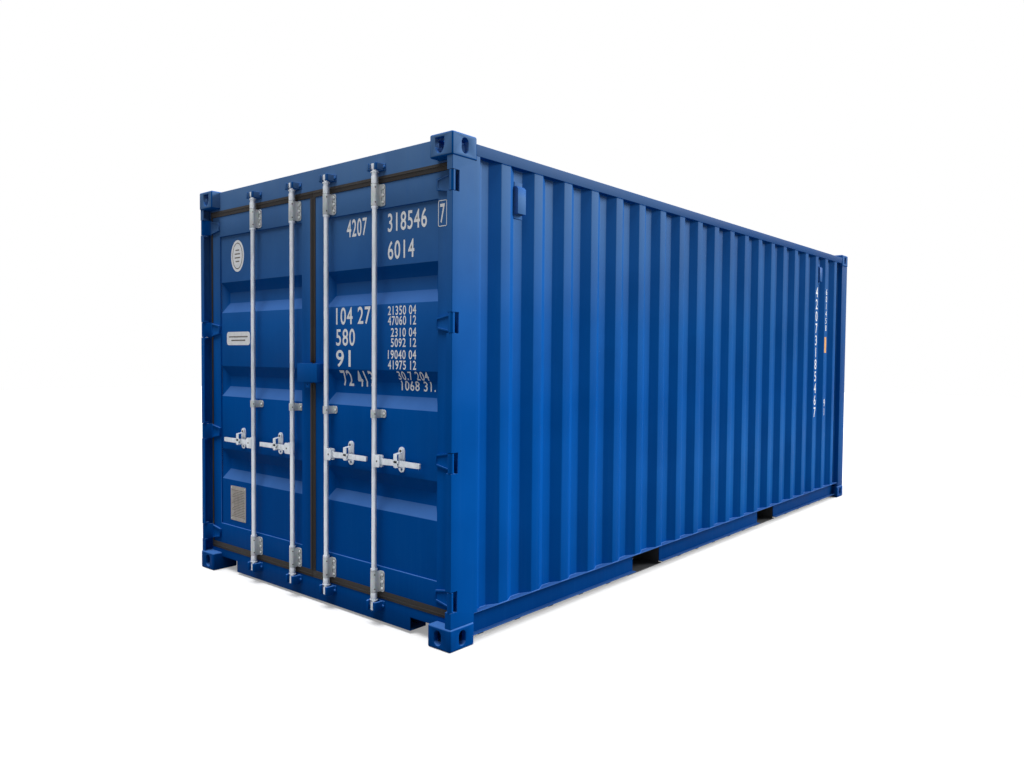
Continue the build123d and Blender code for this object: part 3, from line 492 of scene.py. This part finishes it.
def plain_coat(name, colour, shade, roughness, scale, specular, depth):
    """A sprayed, moulded or printed finish with a slow change of tone and a grain 3 mm across."""
    material, tree, surface = new_material(name, 0.0, roughness, specular)
    place = add(tree, "ShaderNodeTexCoord", {}, "Object")
    tone = add(tree, "ShaderNodeTexNoise", {"Vector": place, "Scale": scale, "Detail": 5.0})
    base = lay_over(tree, hex_colour(colour), tone, (0.35, 0.0), (0.7, 1.0), hex_colour(shade))
    grain = add(tree, "ShaderNodeTexNoise", {"Vector": place, "Scale": 350.0, "Detail": 2.0})
    stops = [(0.3, grey(roughness - 0.06)), (0.7, grey(roughness + 0.08))]
    gloss = add(tree, "ShaderNodeValToRGB", {0: tone, "stops": stops})
    finish_coat(tree, surface, base, grain, depth, gloss)
    return material


def floor_plywood():
    """Oiled hardwood plywood: brown, with long grain and dark seams between the panels."""
    material, tree, surface = new_material("oiled_hardwood_plywood", 0.0, 0.55)
    place = add(tree, "ShaderNodeTexCoord", {}, "Object")
    # grain 11 mm wide and 330 mm long
    stretched = add(tree, "ShaderNodeMapping", {"Vector": place, "Scale": (3.0, 90.0, 3.0)})
    grain = add(tree, "ShaderNodeTexNoise",
                {"Vector": stretched, "Scale": 1.0, "Detail": 6.0, "Roughness": 0.6})
    base = lay_over(tree, hex_colour("#8A5F3C"), grain, (0.3, 0.0), (0.7, 1.0), hex_colour("#5A3A22"))
    # panels 1160 mm wide and 2400 mm long, with 4 mm seams
    middle = add(tree, "ShaderNodeMapping", {"Vector": place, "Location": (0.0, 0.58, 0.0)})
    seams = add(tree, "ShaderNodeTexBrick",
                {"Vector": middle, "Scale": 1.0, "Brick Width": 2.4, "Row Height": 1.16,
                 "Mortar Size": 0.004, "Color1": grey(1.0), "Color2": grey(0.86), "Mortar": grey(0.1)})
    base = add(tree, "ShaderNodeMix", {"data_type": "RGBA", "blend_type": "MULTIPLY", 0: 1.0,
                                       6: base, 7: seams}, 2)
    finish_coat(tree, surface, base, grain, 0.3)
    return material


# Walls, doors, castings and door frame: a satin blue with a painted sheen
paint = container_paint("blue_marine_topcoat", 0.0)
# Rails and front corner posts: the same blue, made darker
rail_paint = container_paint("blue_topcoat_on_rails", 0.4)
# Lock rods, handles, catches and retainers: pale grey, tinted a little blue as a painted reflection of the
# blue doors, with a soft, cloudy shine
zinc = zinc_steel("hot_dip_galvanised_steel", "#D8DDE4", "#B0B8BE")
# Bolts and plate rivets: the brightest and smoothest zinc
bolt_zinc = zinc_steel("zinc_plated_fasteners", "#E6E8E8", "#9A9E99", 0.38)
# Bearing straps: greyer and duller than the rods they hold
strap_zinc = zinc_steel("weathered_galvanised_straps", "#BCC1C4", "#8E9595", 0.55)
# Pins and catch rivets, dark partly as painted shade of the recesses round them, and the painted shade at the
# bearings: almost black, with a faint sheen
dark_steel_and_shade = zinc_steel("dark_pin_steel_and_painted_shade", "#4A443F", "#2E2926", 0.6, 0.4)
# Door seals: matt black, a little brown where worn
rubber = plain_coat("black_epdm_rubber", "#1C1A1A", "#2E2926", 0.72, 14.0, 0.3, 0.2)
# Inner faces of walls, doors and roof: flat pale grey
lining = plain_coat("grey_lining_paint", "#A9AFB2", "#989EA1", 0.5, 3.0, 0.4, 0.15)
# Underside: rough, sooty black
underseal = plain_coat("black_bitumen_underseal", "#1B1D20", "#2A2C2F", 0.75, 6.0, 0.3, 0.6)
# Numerals and films: clean white with a slight gloss
white_vinyl = plain_coat("white_vinyl_film", "#FDFEFF", "#EEF1F6", 0.4, 22.0, 0.3, 0.03)
# Wall label: warm yellow with a slight gloss
yellow_vinyl = plain_coat("yellow_vinyl_film", "#E9A22A", "#D98E1E", 0.4, 22.0, 0.3, 0.03)
# Bars on the films and lines on the plate: dry, brownish grey
print_ink = plain_coat("grey_printing_ink", "#5A544F", "#7C756E", 0.5, 40.0, 0.3, 0.02)
# Data plate: soft, slightly brown metal
plate_metal = zinc_steel("anodised_aluminium_plate", "#A39D97", "#857E77", 0.5, 0.2)
plywood = floor_plywood()


# Corner castings: heavy hollow blocks with well rounded corners

def on_planes(vert, planes):
    """How many of the casting's own outer planes a corner point lies on."""
    return sum(abs(abs(vert.co[axis]) - place * MM) < 0.0001 for axis, place in planes)


def make_castings():
    for node, low in (("top_corner_castings", TOP_Z - CASTING_Z), ("bottom_corner_castings", 0.0)):
        block = merged(node)
        outer = ((0, END_X), (0, CASTING_X), (1, SIDE_Y), (1, CASTING_Y), (2, low), (2, low + CASTING_Z))
        # the shield-shaped end holes have rounded corners
        round_edges(block, lambda edge: runs_along(edge, 0, 5, 40) and turned(edge, 20, 100)
                    and all(on_planes(vert, outer) < 2 for vert in edge.verts), 9, 4)
        if low:
            # the top castings' end holes are rounded off to an oval
            for x in (-1, 1):
                for y in (-1, 1):
                    cut(block, oval(x * (END_X + 6), y * END_HOLE_Y, END_HOLE_Z,
                                    END_HOLE_HALF_Y, END_HOLE_HALF_Z, x * 40))
        round_edges(block, lambda edge: all(on_planes(vert, outer) == 3 for vert in edge.verts), 10, 4)
        soften(block, 2.5, 2, 50)
        dress(block, paint, "container", node)


# Posts, rails and the frames of the two ends

def make_frame():
    for side in ("left", "right"):
        post = merged(side + "_door_post")
        round_edges(post, lambda edge: runs_along(edge, 2, 60) and turned(edge, 15, 100)
                    and abs(edge.verts[0].co.y) > 1.205, 8, 4)
        dress(post, paint, "container", side + "_door_post")
    for node, width in (("front_corner_posts", 6), ("top_side_rails", 6), ("front_top_rail", 5),
                        ("front_bottom_rail", 4), ("left_bottom_rail", 3), ("right_bottom_rail", 3),
                        ("door_sill", 4), ("door_header", 5)):
        rail = merged(node)
        round_edges(rail, lambda edge: turned(edge, 40, 100) and edge.calc_length() > 0.06, width, 3)
        dress(rail, paint if node.startswith("door") else rail_paint, "container", node)
    dress(soften(merged("post_hinge_lugs"), 1, 2), paint, "container", "post_hinge_lugs")
    for node in ("cross_members", "forklift_pockets"):
        dress(soften(merged(node), 2, 2), underseal, "container", node)
    nodes["plywood_floor"].data.materials.clear()
    nodes["plywood_floor"].data.materials.append(plywood)


# Folded walls and roof, painted grey inside

def make_walls():
    for side, sign in (("left", 1), ("right", -1)):
        wall = merged(side + "_side_wall")
        round_edges(wall, lambda edge: runs_along(edge, 2, 300) and turned(edge, 8, 70), 3.5, 2)
        for name, z in (("foot", FLOOR_Z), ("head", RAIL_Z)):
            weld = bead(wall, "%s_wall_%s_weld" % (side, name),
                        lambda edge: all(abs(vert.co.z - z * MM) < 0.0002 for vert in edge.verts)
                        and any(face.normal.y * sign > 0.3 for face in edge.link_faces), 3)
            dress(weld, paint, "container")
        dress(wall, paint, "container", side + "_side_wall")
        line_inside(wall, lining, lambda face: face.normal.y * sign < -0.2)
    for node, axis, inward in (("front_wall", 2, 0), ("roof_panel", 1, 2)):
        sheet = merged(node)
        round_edges(sheet, lambda edge: runs_along(edge, axis, 300) and turned(edge, 8, 80), 5, 3)
        dress(sheet, paint, "container", node)
        line_inside(sheet, lining, lambda face: face.normal[inward] < -0.2)


# Fasteners

def bolt(at, facing, radius, height):
    """A hexagon head on a washer that stands on a face."""
    at, facing = Vector(at), Vector(facing)
    washer = bar("washer", radius * 1.45, at, at + facing * 1.6, 20)
    head = bar("head", radius, at + facing * 1.6, at + facing * (1.6 + height), 6)
    soften(head, 0.9, 1)
    return join("bolt", [washer, head])


def rivet(at, facing, radius, height):
    """A domed rivet head on a face."""
    at, facing = Vector(at), Vector(facing)
    low = bar("rim", radius, at, at + facing * height * 0.5, 20)
    cap = bar("cap", radius, at + facing * height * 0.5, at + facing * height, 20, radius * 0.45)
    return join("rivet", [low, cap])


# Locking gear, built on the +Y side

def bearing(out, z, length, foot_x):
    """A strap pressed round a rod, with a bolting foot at each side."""
    bpy.ops.mesh.primitive_cylinder_add(vertices=40, radius=STRAP_HALF * MM, depth=length * MM,
                                        end_fill_type="NOTHING", location=(ROD_X * MM, out * MM, z * MM))
    strap = bpy.context.object
    settle(strap)
    pick(strap, "VERT", lambda vert: vert.co.x > (ROD_X + 1) * MM)
    bpy.ops.mesh.delete(type="VERT")
    close()
    foot = (foot_x - STRAP_WALL) * MM
    pick(strap, "EDGE", lambda edge: runs_along(edge, 2) and edge.verts[0].co.x > (ROD_X - 1) * MM)
    extrude(foot - ROD_X * MM, 0, 0)
    close()
    for side in (-1, 1):
        pick(strap, "EDGE", lambda edge: runs_along(edge, 2) and abs(edge.verts[0].co.x - foot) < MM
             and (edge.verts[0].co.y - out * MM) * side > (STRAP_HALF - 1) * MM)
        extrude(0, side * (FOOT_HALF - STRAP_HALF) * MM, 0)
        close()
    thicken(strap, STRAP_WALL)
    round_edges(strap, lambda edge: runs_along(edge, 0, 2, 8)
                and abs(edge.verts[0].co.y - out * MM) > (FOOT_HALF - 1) * MM, 15, 5)
    return soften(strap, 1.4, 2)


def make_bearings(side):
    """The six bearings of a leaf with their bolts, and painted shade: dark rings under the bolts, and dark
    discs and slots in and beside the straps.
    """
    straps, bolts, shade_marks = [], [], []
    for out in ROD_OUT:
        for z, length, foot_x, rows in ((BEARINGS[0], BEARING_LENGTH, DOOR_X, STRAP_HOLE_ROWS),
                                        (BEARINGS[1], BEARING_LENGTH, DOOR_X, STRAP_HOLE_ROWS),
                                        (GUIDE_Z, GUIDE_LENGTH, PANEL_X, ())):
            straps.append(bearing(out, z, length, foot_x))
            face = foot_x - STRAP_WALL
            for way in (-1, 1):
                for row in FOOT_BOLT_ROWS if rows else (0,):
                    at = (face, out + way * FOOT_BOLT_OUT, z + row)
                    # a dark ring painted as the shadow under each bolt
                    shade_marks.append(bar("shadow_ring", 11.0, at, (face - 0.6, *at[1:]), 24))
                    bolts.append(bolt((face - 0.6, *at[1:]), (-1, 0, 0), 6.0, 4.5))
                # dark discs painted as the shade inside the punched openings of the strap
                aside = Vector((-math.cos(STRAP_HOLE_TURN), way * math.sin(STRAP_HOLE_TURN), 0))
                for row in rows or (0,):
                    start = Vector((ROD_X, out, z + row)) + aside * (STRAP_HALF - 1)
                    shade_marks.append(bar("hole", 4.0, start, start + aside * 1.3, 16))
                # dark slots painted as the shade of punched openings beside the sleeve
                for row in rows:
                    low, high = sorted((out + way * 22, out + way * 26))
                    middle = z + row / 2
                    slot_shade = slab("slot_shade", (face + 1, low, middle - 10), (face - 0.4, high, middle + 10))
                    shade_marks.append(soften(slot_shade, 1.5, 2))
    strap = join(side + "_bearing_straps", straps)
    heads = join(side + "_bearing_bolts", bolts)
    painted_shade = join(side + "_bearing_painted_shade", shade_marks)
    if side == "right":
        strap, heads, painted_shade = mirrored(strap), mirrored(heads), mirrored(painted_shade)
    dress(strap, strap_zinc, side + "_door", side + "_rod_brackets")
    dress(heads, bolt_zinc, side + "_door")
    dress(painted_shade, dark_steel_and_shade, side + "_door")


def make_rods():
    """The rods with their cams and hubs, and the collars, end flanges and hub pins that ride on them."""
    for number, sign, out in RODS:
        name = "lock_rod_%d" % number
        rod = merged(name)
        # the hub is welded to the side of the rod, which shows in front of it
        low, high = HANDLE_Z - HUB_HALF, HANDLE_Z + HUB_HALF
        middle = sign * out
        cut(rod, slab("clearing", (ROD_X - 21, sign * (out - 25), low), (ROD_X + 21, sign * (out + 6), high)))
        shaft = bar("shaft", ROD_RADIUS, (ROD_X, middle, low - 1), (ROD_X, middle, high + 1), 42)
        cut(rod, slab("clearing", (-3060, middle - 80, CAM_TOP), (-2960, middle + 80, TOP_Z)))
        rod = soften(join(name + "_dressed", [shaft, rod]), 1.6, 2)
        dress(rod, zinc, name, name)
        rings = []
        for edge, way in ((BEARINGS[0] + BEARING_LENGTH / 2, 1), (BEARINGS[1] - BEARING_LENGTH / 2, -1)):
            near, far = edge + way * 1.5, edge + way * 13.5
            rings.append(soften(tube("collar", 19.0, 5.5, (ROD_X, out, near), (ROD_X, out, far)), 1.5, 2))
        for cam, way, neck, end in ((CAM_Z[0], 1, 12, BEARINGS[0] - BEARING_LENGTH / 2 - 2),
                                    (CAM_Z[1], -1, 24, BEARINGS[1] + BEARING_LENGTH / 2 + 2)):
            near = cam + way * (KEEPER_HALF + 3)
            flange = bar("flange", 20.0, (ROD_X, out, near), (ROD_X, out, near + way * 6), 40)
            flange.data.transform(Matrix.Translation((0, out * MM, 0)) @ Matrix.Diagonal((1, 1.3, 1, 1))
                                  @ Matrix.Translation((0, -out * MM, 0)))
            rings.append(soften(flange, 1.6, 2))
            joint = (ROD_X, out, near + way * neck)
            rings.append(tube("neck", 16.0, 2.5, (ROD_X, out, near + way * 5), joint))
            rings.append(soften(tube("sleeve", 18.8, 5.0, joint, (ROD_X, out, end)), 1.5, 2))
        collars = join(name + "_collars", rings)
        pin = rivet((ROD_X - 16, out + PIVOT_OUT, HANDLE_Z), (-1, 0, 0), 5.5, 1.2)
        pin.name = name + "_hub_pin"
        if sign < 0:
            collars, pin = mirrored(collars), mirrored(pin)
        dress(collars, zinc, name)
        # the hub pin is a rusty pin end, its dark colour partly painted shade of the recess round it
        dress(pin, dark_steel_and_shade, name)


def make_handles():
    for number in (1, 2, 3, 4):
        name = "handle_%d" % number
        grip = merged(name)
        round_edges(grip, lambda edge: turned(edge, 40, 100) and edge.calc_length() > 0.01
                    and abs(edge.verts[0].co.z - edge.verts[1].co.z) < 0.03, 3.2, 3)
        dress(grip, zinc, name, name)


def make_catches():
    """Each catch turns on a rivet near the door and bends forward into a tongue before the handle."""
    bends = ((EAR_X, CATCH_Z + 15), (EAR_X, CATCH_Z - 6), (TONGUE_X, CATCH_Z - 13), (TONGUE_X, CATCH_Z - 87))
    for number, sign, out in RODS:
        name = "catch_%d" % number
        y = sign * (out + RETAINER_OUT)
        ear = bent_strip(name + "_dressed", y, 14, bends, 4)
        round_edges(ear, lambda edge: runs_along(edge, 0, 2, 6)
                    and edge.verts[0].co.z > CATCH_Z * MM, 13, 6)
        round_edges(ear, lambda edge: runs_along(edge, 0, 2, 6)
                    and edge.verts[0].co.z < (CATCH_Z - 80) * MM, 9, 4)
        wing = slab("wing", (TONGUE_X, y - 24, CATCH_Z - 62), (TONGUE_X + 4, y + 24, CATCH_Z - 48))
        round_edges(wing, lambda edge: runs_along(edge, 0), 5, 3)
        piece = soften(join(name + "_dressed", [wing, ear]), 0.9, 2)
        dress(piece, zinc, name, name)


def make_retainers(side, sign):
    """The plates that hold the handles: rounded ends, a hole below the ledge and domed rivets."""
    plates = merged(side + "_handle_retainers")
    round_edges(plates, lambda edge: runs_along(edge, 0, 4, 8) and turned(edge, 30, 60)
                and abs(edge.verts[0].co.x - PANEL_X * MM) < 0.007, 9, 4)
    rivets = []
    for out in ROD_OUT:
        y = sign * (out + RETAINER_OUT)
        cut(plates, bar("drill", 8.0, (PANEL_X - 30, y, 876), (PANEL_X + 5, y, 876), 24))
        cut(plates, slab("shears", (PANEL_X - 60, y - 14, CATCH_Z - 14), (PANEL_X - 7, y + 14, CATCH_Z + 14)))
        rivets.append(rivet((EAR_X, y, CATCH_Z), (-1, 0, 0), 8.0, 3.0))
    soften(plates, 1.2, 2)
    dress(plates, zinc, side + "_door", side + "_handle_retainers")
    # the catch rivets are dark as painted shade of the opening round each one
    dress(join(side + "_catch_rivets", rivets), dark_steel_and_shade, side + "_door")


def make_keepers():
    """The two-pronged keepers on the header and the sill, cut to the cams' height, and their knobs."""
    for node, cam, off in (("header_keepers", CAM_Z[1] - 12, (CAM_TOP + 1, TOP_Z)),
                           ("sill_keepers", CAM_Z[0], (0.0, CAM_Z[0] - 23))):
        keeper = merged(node)
        cut(keeper, slab("off", (-3060, -760, off[0]), (DOOR_X + 1, 760, off[1])))
        dress(soften(keeper, 6, 4, 50), paint, "container", node)
        knobs = [rivet((DOOR_X - 5, y + side, cam), (-1, 0, 0), 11.0, 7.0)
                 for y in sorted(sign * out for _, sign, out in RODS) for side in (-KNOB_OUT, KNOB_OUT)]
        dress(soften(join(node + "_rivets", knobs), 2, 2), paint, "container")


# Doors

def make_leaf(side, sign):
    """A leaf with its frame, recessed panel, seal and hinges; gives the panel for the marks on it."""
    body = side + "_door"
    leaf = merged(side + "_door_frame")
    round_edges(leaf, lambda edge: turned(edge, 60, 100) and edge.calc_length() > 0.5
                and edge.verts[0].co.x < -2.966, 3, 3)
    dress(leaf, paint, body, side + "_door_frame")
    panel = merged(side + "_door_panel")
    round_edges(panel, lambda edge: turned(edge, 15, 70), 5, 3)
    # the flats between the recesses stay in one plane
    pick(panel, "VERT", lambda vert: vert.co.x < (PANEL_X + 0.3) * MM)
    bpy.ops.transform.resize(value=(0, 1, 1), center_override=(PANEL_X * MM, 0, 0))
    close()
    dress(panel, paint, body, side + "_door_panel")
    line_inside(panel, lining, lambda face: face.normal.x > 0.2)
    dress(soften(merged(side + "_door_gasket"), 3, 3), rubber, body, side + "_door_gasket")
    blades = soften(merged(side + "_hinge_blades"), 1.8, 2, 50)
    dress(blades, paint, body, side + "_hinge_blades")
    barrels = [tube("barrel", 15.2, 6.0, (HINGE[0], sign * HINGE[1], z - BARREL_HALF),
                    (HINGE[0], sign * HINGE[1], z + BARREL_HALF)) for z in HINGES]
    dress(join(side + "_hinge_barrels", barrels), paint, body)
    return panel


def make_seal_lips(side):
    """The soft lips of the door seal, which lap over the frame and over the edges of the leaf."""
    back, front = DOOR_X - 0.5, DOOR_X - 3.5
    foot = LEAF_Z[0] + 22
    runs = [((1, SEAL_Z[0]), (LEAF_Y, foot)), ((1, LEAF_Z[1]), (LEAF_Y, SEAL_Z[1])),
            ((1, foot), (26, LOCK_BOX_Z[0])), ((1, LOCK_BOX_Z[1]), (26, LEAF_Z[1])),
            ((LEAF_Y - 18, foot), (LEAF_Y, LEAF_Z[1]))]
    lips = [slab("lip", (back, y0, z0), (front, y1, z1)) for (y0, z0), (y1, z1) in runs]
    crest = front - 0.4
    for z in (SEAL_Z[0] + 16, SEAL_Z[1] - 14):
        lips.append(bar("ridge", 3.2, (crest, 1, z), (crest, LEAF_Y, z), 16))
    for z0, z1 in ((foot, LOCK_BOX_Z[0]), (LOCK_BOX_Z[1], LEAF_Z[1])):
        lips.append(bar("ridge", 3.2, (crest, 9, z0), (crest, 9, z1), 16))
    lip = soften(join(side + "_seal_lips", lips), 1.0, 2)
    if side == "right":
        lip = mirrored(lip)
    dress(lip, rubber, side + "_door")


def make_small_fittings():
    dress(soften(merged("lock_box"), 2.5, 3, 50), paint, "right_door", "lock_box")
    dress(soften(merged("wall_vents"), 2.5, 3, 50), paint, "container", "wall_vents")


# Painted marks, films and plates

def lettering(text, corner, across, up, facing, stacked=False):
    """Flat painted numerals, made to fill the rectangle that starts at a corner and spans across and up."""
    bpy.ops.object.text_add()
    words = bpy.context.object
    words.data.body = "\n".join(text) if stacked else text
    words.data.align_x = "CENTER"
    words.data.offset = 0.012
    words.data.space_character = 1.12
    words.data.space_line = 0.86
    bpy.ops.object.convert(target="MESH")
    words = bpy.context.object
    corners = [Vector(place) for place in words.bound_box]
    start = Vector([min(place[i] for place in corners) for i in (0, 1)] + [0])
    reach = Vector([max(place[i] for place in corners) for i in (0, 1)] + [0]) - start
    words.data.transform(Matrix.Diagonal((1 / reach.x, 1 / reach.y, 1, 1)) @ Matrix.Translation(-start))
    across, up = Vector(across) * MM, Vector(up) * MM
    turn = Matrix((across, up, across.cross(up).normalized())).transposed().to_4x4()
    origin = (Vector(corner) + Vector(facing) * 0.5) * MM
    words.data.transform(Matrix.Translation(origin) @ turn)
    return words


def door_row(text, y0, y1, z0, z1, x=PANEL_X):
    """One row of numerals on the right door, read from the front, from y0 to y1."""
    return lettering(text, (x, y0, z0), (0, y1 - y0, 0), (0, 0, z1 - z0), (-1, 0, 0))


def lay_in_recess(row, panel):
    """Presses a row that crosses a recess of the door onto the panel."""
    for edge in RECESS_EDGES:
        for z in (edge - 5, edge, edge + 5):
            pick(row, "FACE", lambda face: True)
            bpy.ops.mesh.bisect(plane_co=(0, 0, z * MM), plane_no=(0, 0, 1))
            close()
    lay = row.modifiers.new("lay", "SHRINKWRAP")
    lay.wrap_method = "PROJECT"
    lay.use_project_x = True
    lay.use_negative_direction = True
    lay.use_positive_direction = True
    lay.target = panel
    lay.offset = 0.5 * MM
    apply(row, lay)
    return row


def make_door_marks(panel):
    """Plain numerals in the places of the painted rows."""
    rows = [door_row("4207", -307, -485, 2156, 2256), door_row("318546", -661, -966, 2155, 2255),
            door_row("7", -1073, -1107, 2160, 2257, DOOR_X), door_row("6014", -662, -871, 2006, 2105),
            door_row("104 27", -208, -517, 1662, 1761), door_row("580", -208, -380, 1541, 1638),
            door_row("91", -208, -342, 1419, 1517),
            door_row("21350 04", -663, -887, 1706, 1755), door_row("47060 12", -663, -887, 1651, 1701),
            door_row("2310 04", -688, -888, 1588, 1636), door_row("5092 12", -688, -888, 1533, 1581),
            door_row("19040 04", -664, -888, 1468, 1517), door_row("41975 12", -664, -888, 1412, 1461)]
    rows += [lay_in_recess(row, panel) for row in
             (door_row("72 413", -232, -518, 1308, 1400), door_row("30.7 204", -729, -968, 1356, 1403),
              door_row("1068 31.", -736, -1001, 1299, 1352))]
    rows += [slab("line", (DOOR_X - 0.6, y0, z0), (DOOR_X, y1, z1)) for y0, y1, z0, z1 in
             ((-1059, -1063, 2143, 2275), (-1117, -1121, 2143, 2275), (-1059, -1121, 2271, 2275),
              (-1059, -1121, 2143, 2147))]
    dress(join("door_numerals", rows), white_vinyl, "right_door")


def make_left_door_films():
    """A plain white oval and a plain white strip with bars in place of print, and a bare riveted plate."""
    strip = slab("strip", (PANEL_X - 0.4, 707, 1548), (PANEL_X, 992, 1637))
    round_edges(strip, lambda edge: runs_along(edge, 0), 22, 5)
    films = [oval(PANEL_X, 855, 2142, 79, 105, 0.4), strip]
    ring = [oval(PANEL_X, 855, 2142, 62, 88, 0.6)]
    centre = [oval(PANEL_X, 855, 2142, 56, 82, 0.8)]
    bars = [slab("bar", (PANEL_X - 1.0, y0, z - 4), (PANEL_X, y1, z + 4)) for z, y0, y1 in
            ((2105, 832, 878), (2130, 822, 888), (2155, 822, 888), (2180, 832, 878),
             (1604, 735, 965), (1580, 765, 935))]
    dress(join("white_films", films), white_vinyl, "left_door")
    dress(join("film_print", ring + bars), print_ink, "left_door")
    dress(join("film_centre", centre), white_vinyl, "left_door")
    plate = slab("data_plate", (PANEL_X - 1.5, 764, 361), (PANEL_X, 950, 595))
    round_edges(plate, lambda edge: runs_along(edge, 0), 6, 3)
    dress(plate, plate_metal, "left_door")
    lines = [slab("line", (PANEL_X - 1.7, 778 + 5 * (row % 3), z),
                  (PANEL_X - 1.4, 936 - 11 * (row % 4), z + 4))
             for row, z in enumerate(range(388, 570, 11))]
    dress(join("data_plate_lines", lines), print_ink, "left_door")
    rivets = [rivet((PANEL_X - 1.5, y, z), (-1, 0, 0), 4.0, 1.6) for y in (776, 938) for z in (373, 583)]
    dress(join("data_plate_rivets", rivets), bolt_zinc, "left_door")


def make_wall_marks():
    """Stacked numerals and a yellow label on two crests near the blind end of the right wall."""
    first, second = [WAVE_FOOT + WAVE_STEP * number + WAVE_CREST for number in (17, 18)]
    rows = [lettering(text, (middle - width / 2, -CREST_Y, low), (width, 0, 0), (0, 0, high - low),
                      (0, -1, 0), True) for text, middle, width, low, high in
            (("42073185467", first + 12, 54, 904, 2196), ("601458", second + 12, 34, 1770, 2196),
             ("91", second + 12, 34, 909, 1074))]
    dress(join("wall_numerals", rows), white_vinyl, "container")
    label = slab("wall_label", (second - 20, -CREST_Y - 0.5, 1548), (second + 34, -CREST_Y, 1708))
    dress(label, yellow_vinyl, "container")


make_castings()
make_frame()
make_walls()
for leaf_side, leaf_sign in (("left", 1), ("right", -1)):
    door_panel = make_leaf(leaf_side, leaf_sign)
    make_seal_lips(leaf_side)
    make_bearings(leaf_side)
    make_retainers(leaf_side, leaf_sign)
make_rods()
make_handles()
make_catches()
make_keepers()
make_small_fittings()
make_door_marks(door_panel)
make_left_door_films()
make_wall_marks()


# Floor, light and camera

def seen_rays(tree):
    """1 for camera, glossy and transmission rays, so that what they meet is the white studio."""
    rays = add(tree, "ShaderNodeLightPath", {}).node.outputs
    first = add(tree, "ShaderNodeMath",
                {"operation": "MAXIMUM", 0: rays["Is Camera Ray"], 1: rays["Is Glossy Ray"]})
    return add(tree, "ShaderNodeMath", {"operation": "MAXIMUM", 0: first, 1: rays["Is Transmission Ray"]})


def make_studio_floor():
    bpy.ops.mesh.primitive_plane_add(size=60, location=(0, 0, 0))
    ground = bpy.context.object
    ground.name = "studio_floor"
    pale, tree, surface = new_material("pale_matt_studio_floor", 0.0, 0.8, 0.0)
    surface.inputs["Base Color"].default_value = hex_colour("#6A6A6A")
    white = add(tree, "ShaderNodeEmission", {"Color": hex_colour("#FFFFFF"), "Strength": 1.0})
    lit = add(tree, "ShaderNodeBsdfDiffuse", {"Color": hex_colour("#FFFFFF")})
    both = add(tree, "ShaderNodeMixShader", {0: 0.28, 1: lit, 2: white})
    shown = add(tree, "ShaderNodeMixShader", {0: seen_rays(tree), 1: surface.outputs[0], 2: both})
    tree.links.new(shown, tree.nodes["Material Output"].inputs["Surface"])
    ground.data.materials.append(pale)


def make_world():
    world = bpy.data.worlds.new("soft_studio")
    bpy.context.scene.world = world
    world.use_nodes = True
    sky = world.node_tree
    dim = sky.nodes["Background"]
    dim.inputs["Color"].default_value = hex_colour("#F4F7FC")
    dim.inputs["Strength"].default_value = 0.25
    white = add(sky, "ShaderNodeBackground", {"Color": hex_colour("#FFFFFF"), "Strength": 1.0})
    shown = add(sky, "ShaderNodeMixShader", {0: seen_rays(sky), 1: dim.outputs[0], 2: white})
    sky.links.new(shown, sky.nodes["World Output"].inputs["Surface"])


def sun(name, towards, strength, spread):
    """A broad, distant lamp that shines from the given direction."""
    lamp = bpy.data.lights.new(name, "SUN")
    lamp.energy = strength
    lamp.angle = math.radians(spread)
    holder = bpy.data.objects.new(name, lamp)
    holder.rotation_euler = Vector(towards).to_track_quat("Z", "Y").to_euler()
    bpy.context.scene.collection.objects.link(holder)


def make_camera():
    """The photograph's camera: at eye height, off the corner between the doors and the right wall."""
    camera = bpy.data.cameras.new("photo_camera")
    camera.sensor_width = 36.0
    camera.lens = 27.549
    camera.clip_end = 200.0
    holder = bpy.data.objects.new("photo_camera", camera)
    bpy.context.scene.collection.objects.link(holder)
    heading, dip, roll = math.radians(40.177), math.radians(2.052), math.radians(0.463)
    ahead = Vector((math.cos(heading) * math.cos(dip), math.sin(heading) * math.cos(dip), -math.sin(dip)))
    level = ahead.cross(Vector((0, 0, 1))).normalized()
    right = level * math.cos(roll) + level.cross(ahead) * math.sin(roll)
    turn = Matrix((right, right.cross(ahead), -ahead)).transposed().to_4x4()
    holder.matrix_world = Matrix.Translation((-5.7848, -3.9377, 1.4904)) @ turn
    bpy.context.scene.camera = holder


make_studio_floor()
make_world()
sun("key_softbox", (0.78, -0.50, 0.37), 4.0, 25)
sun("overhead_softbox", (-0.25, 0.0, 0.97), 3.0, 35)
make_camera()
bpy.context.scene.view_settings.view_transform = "Standard"
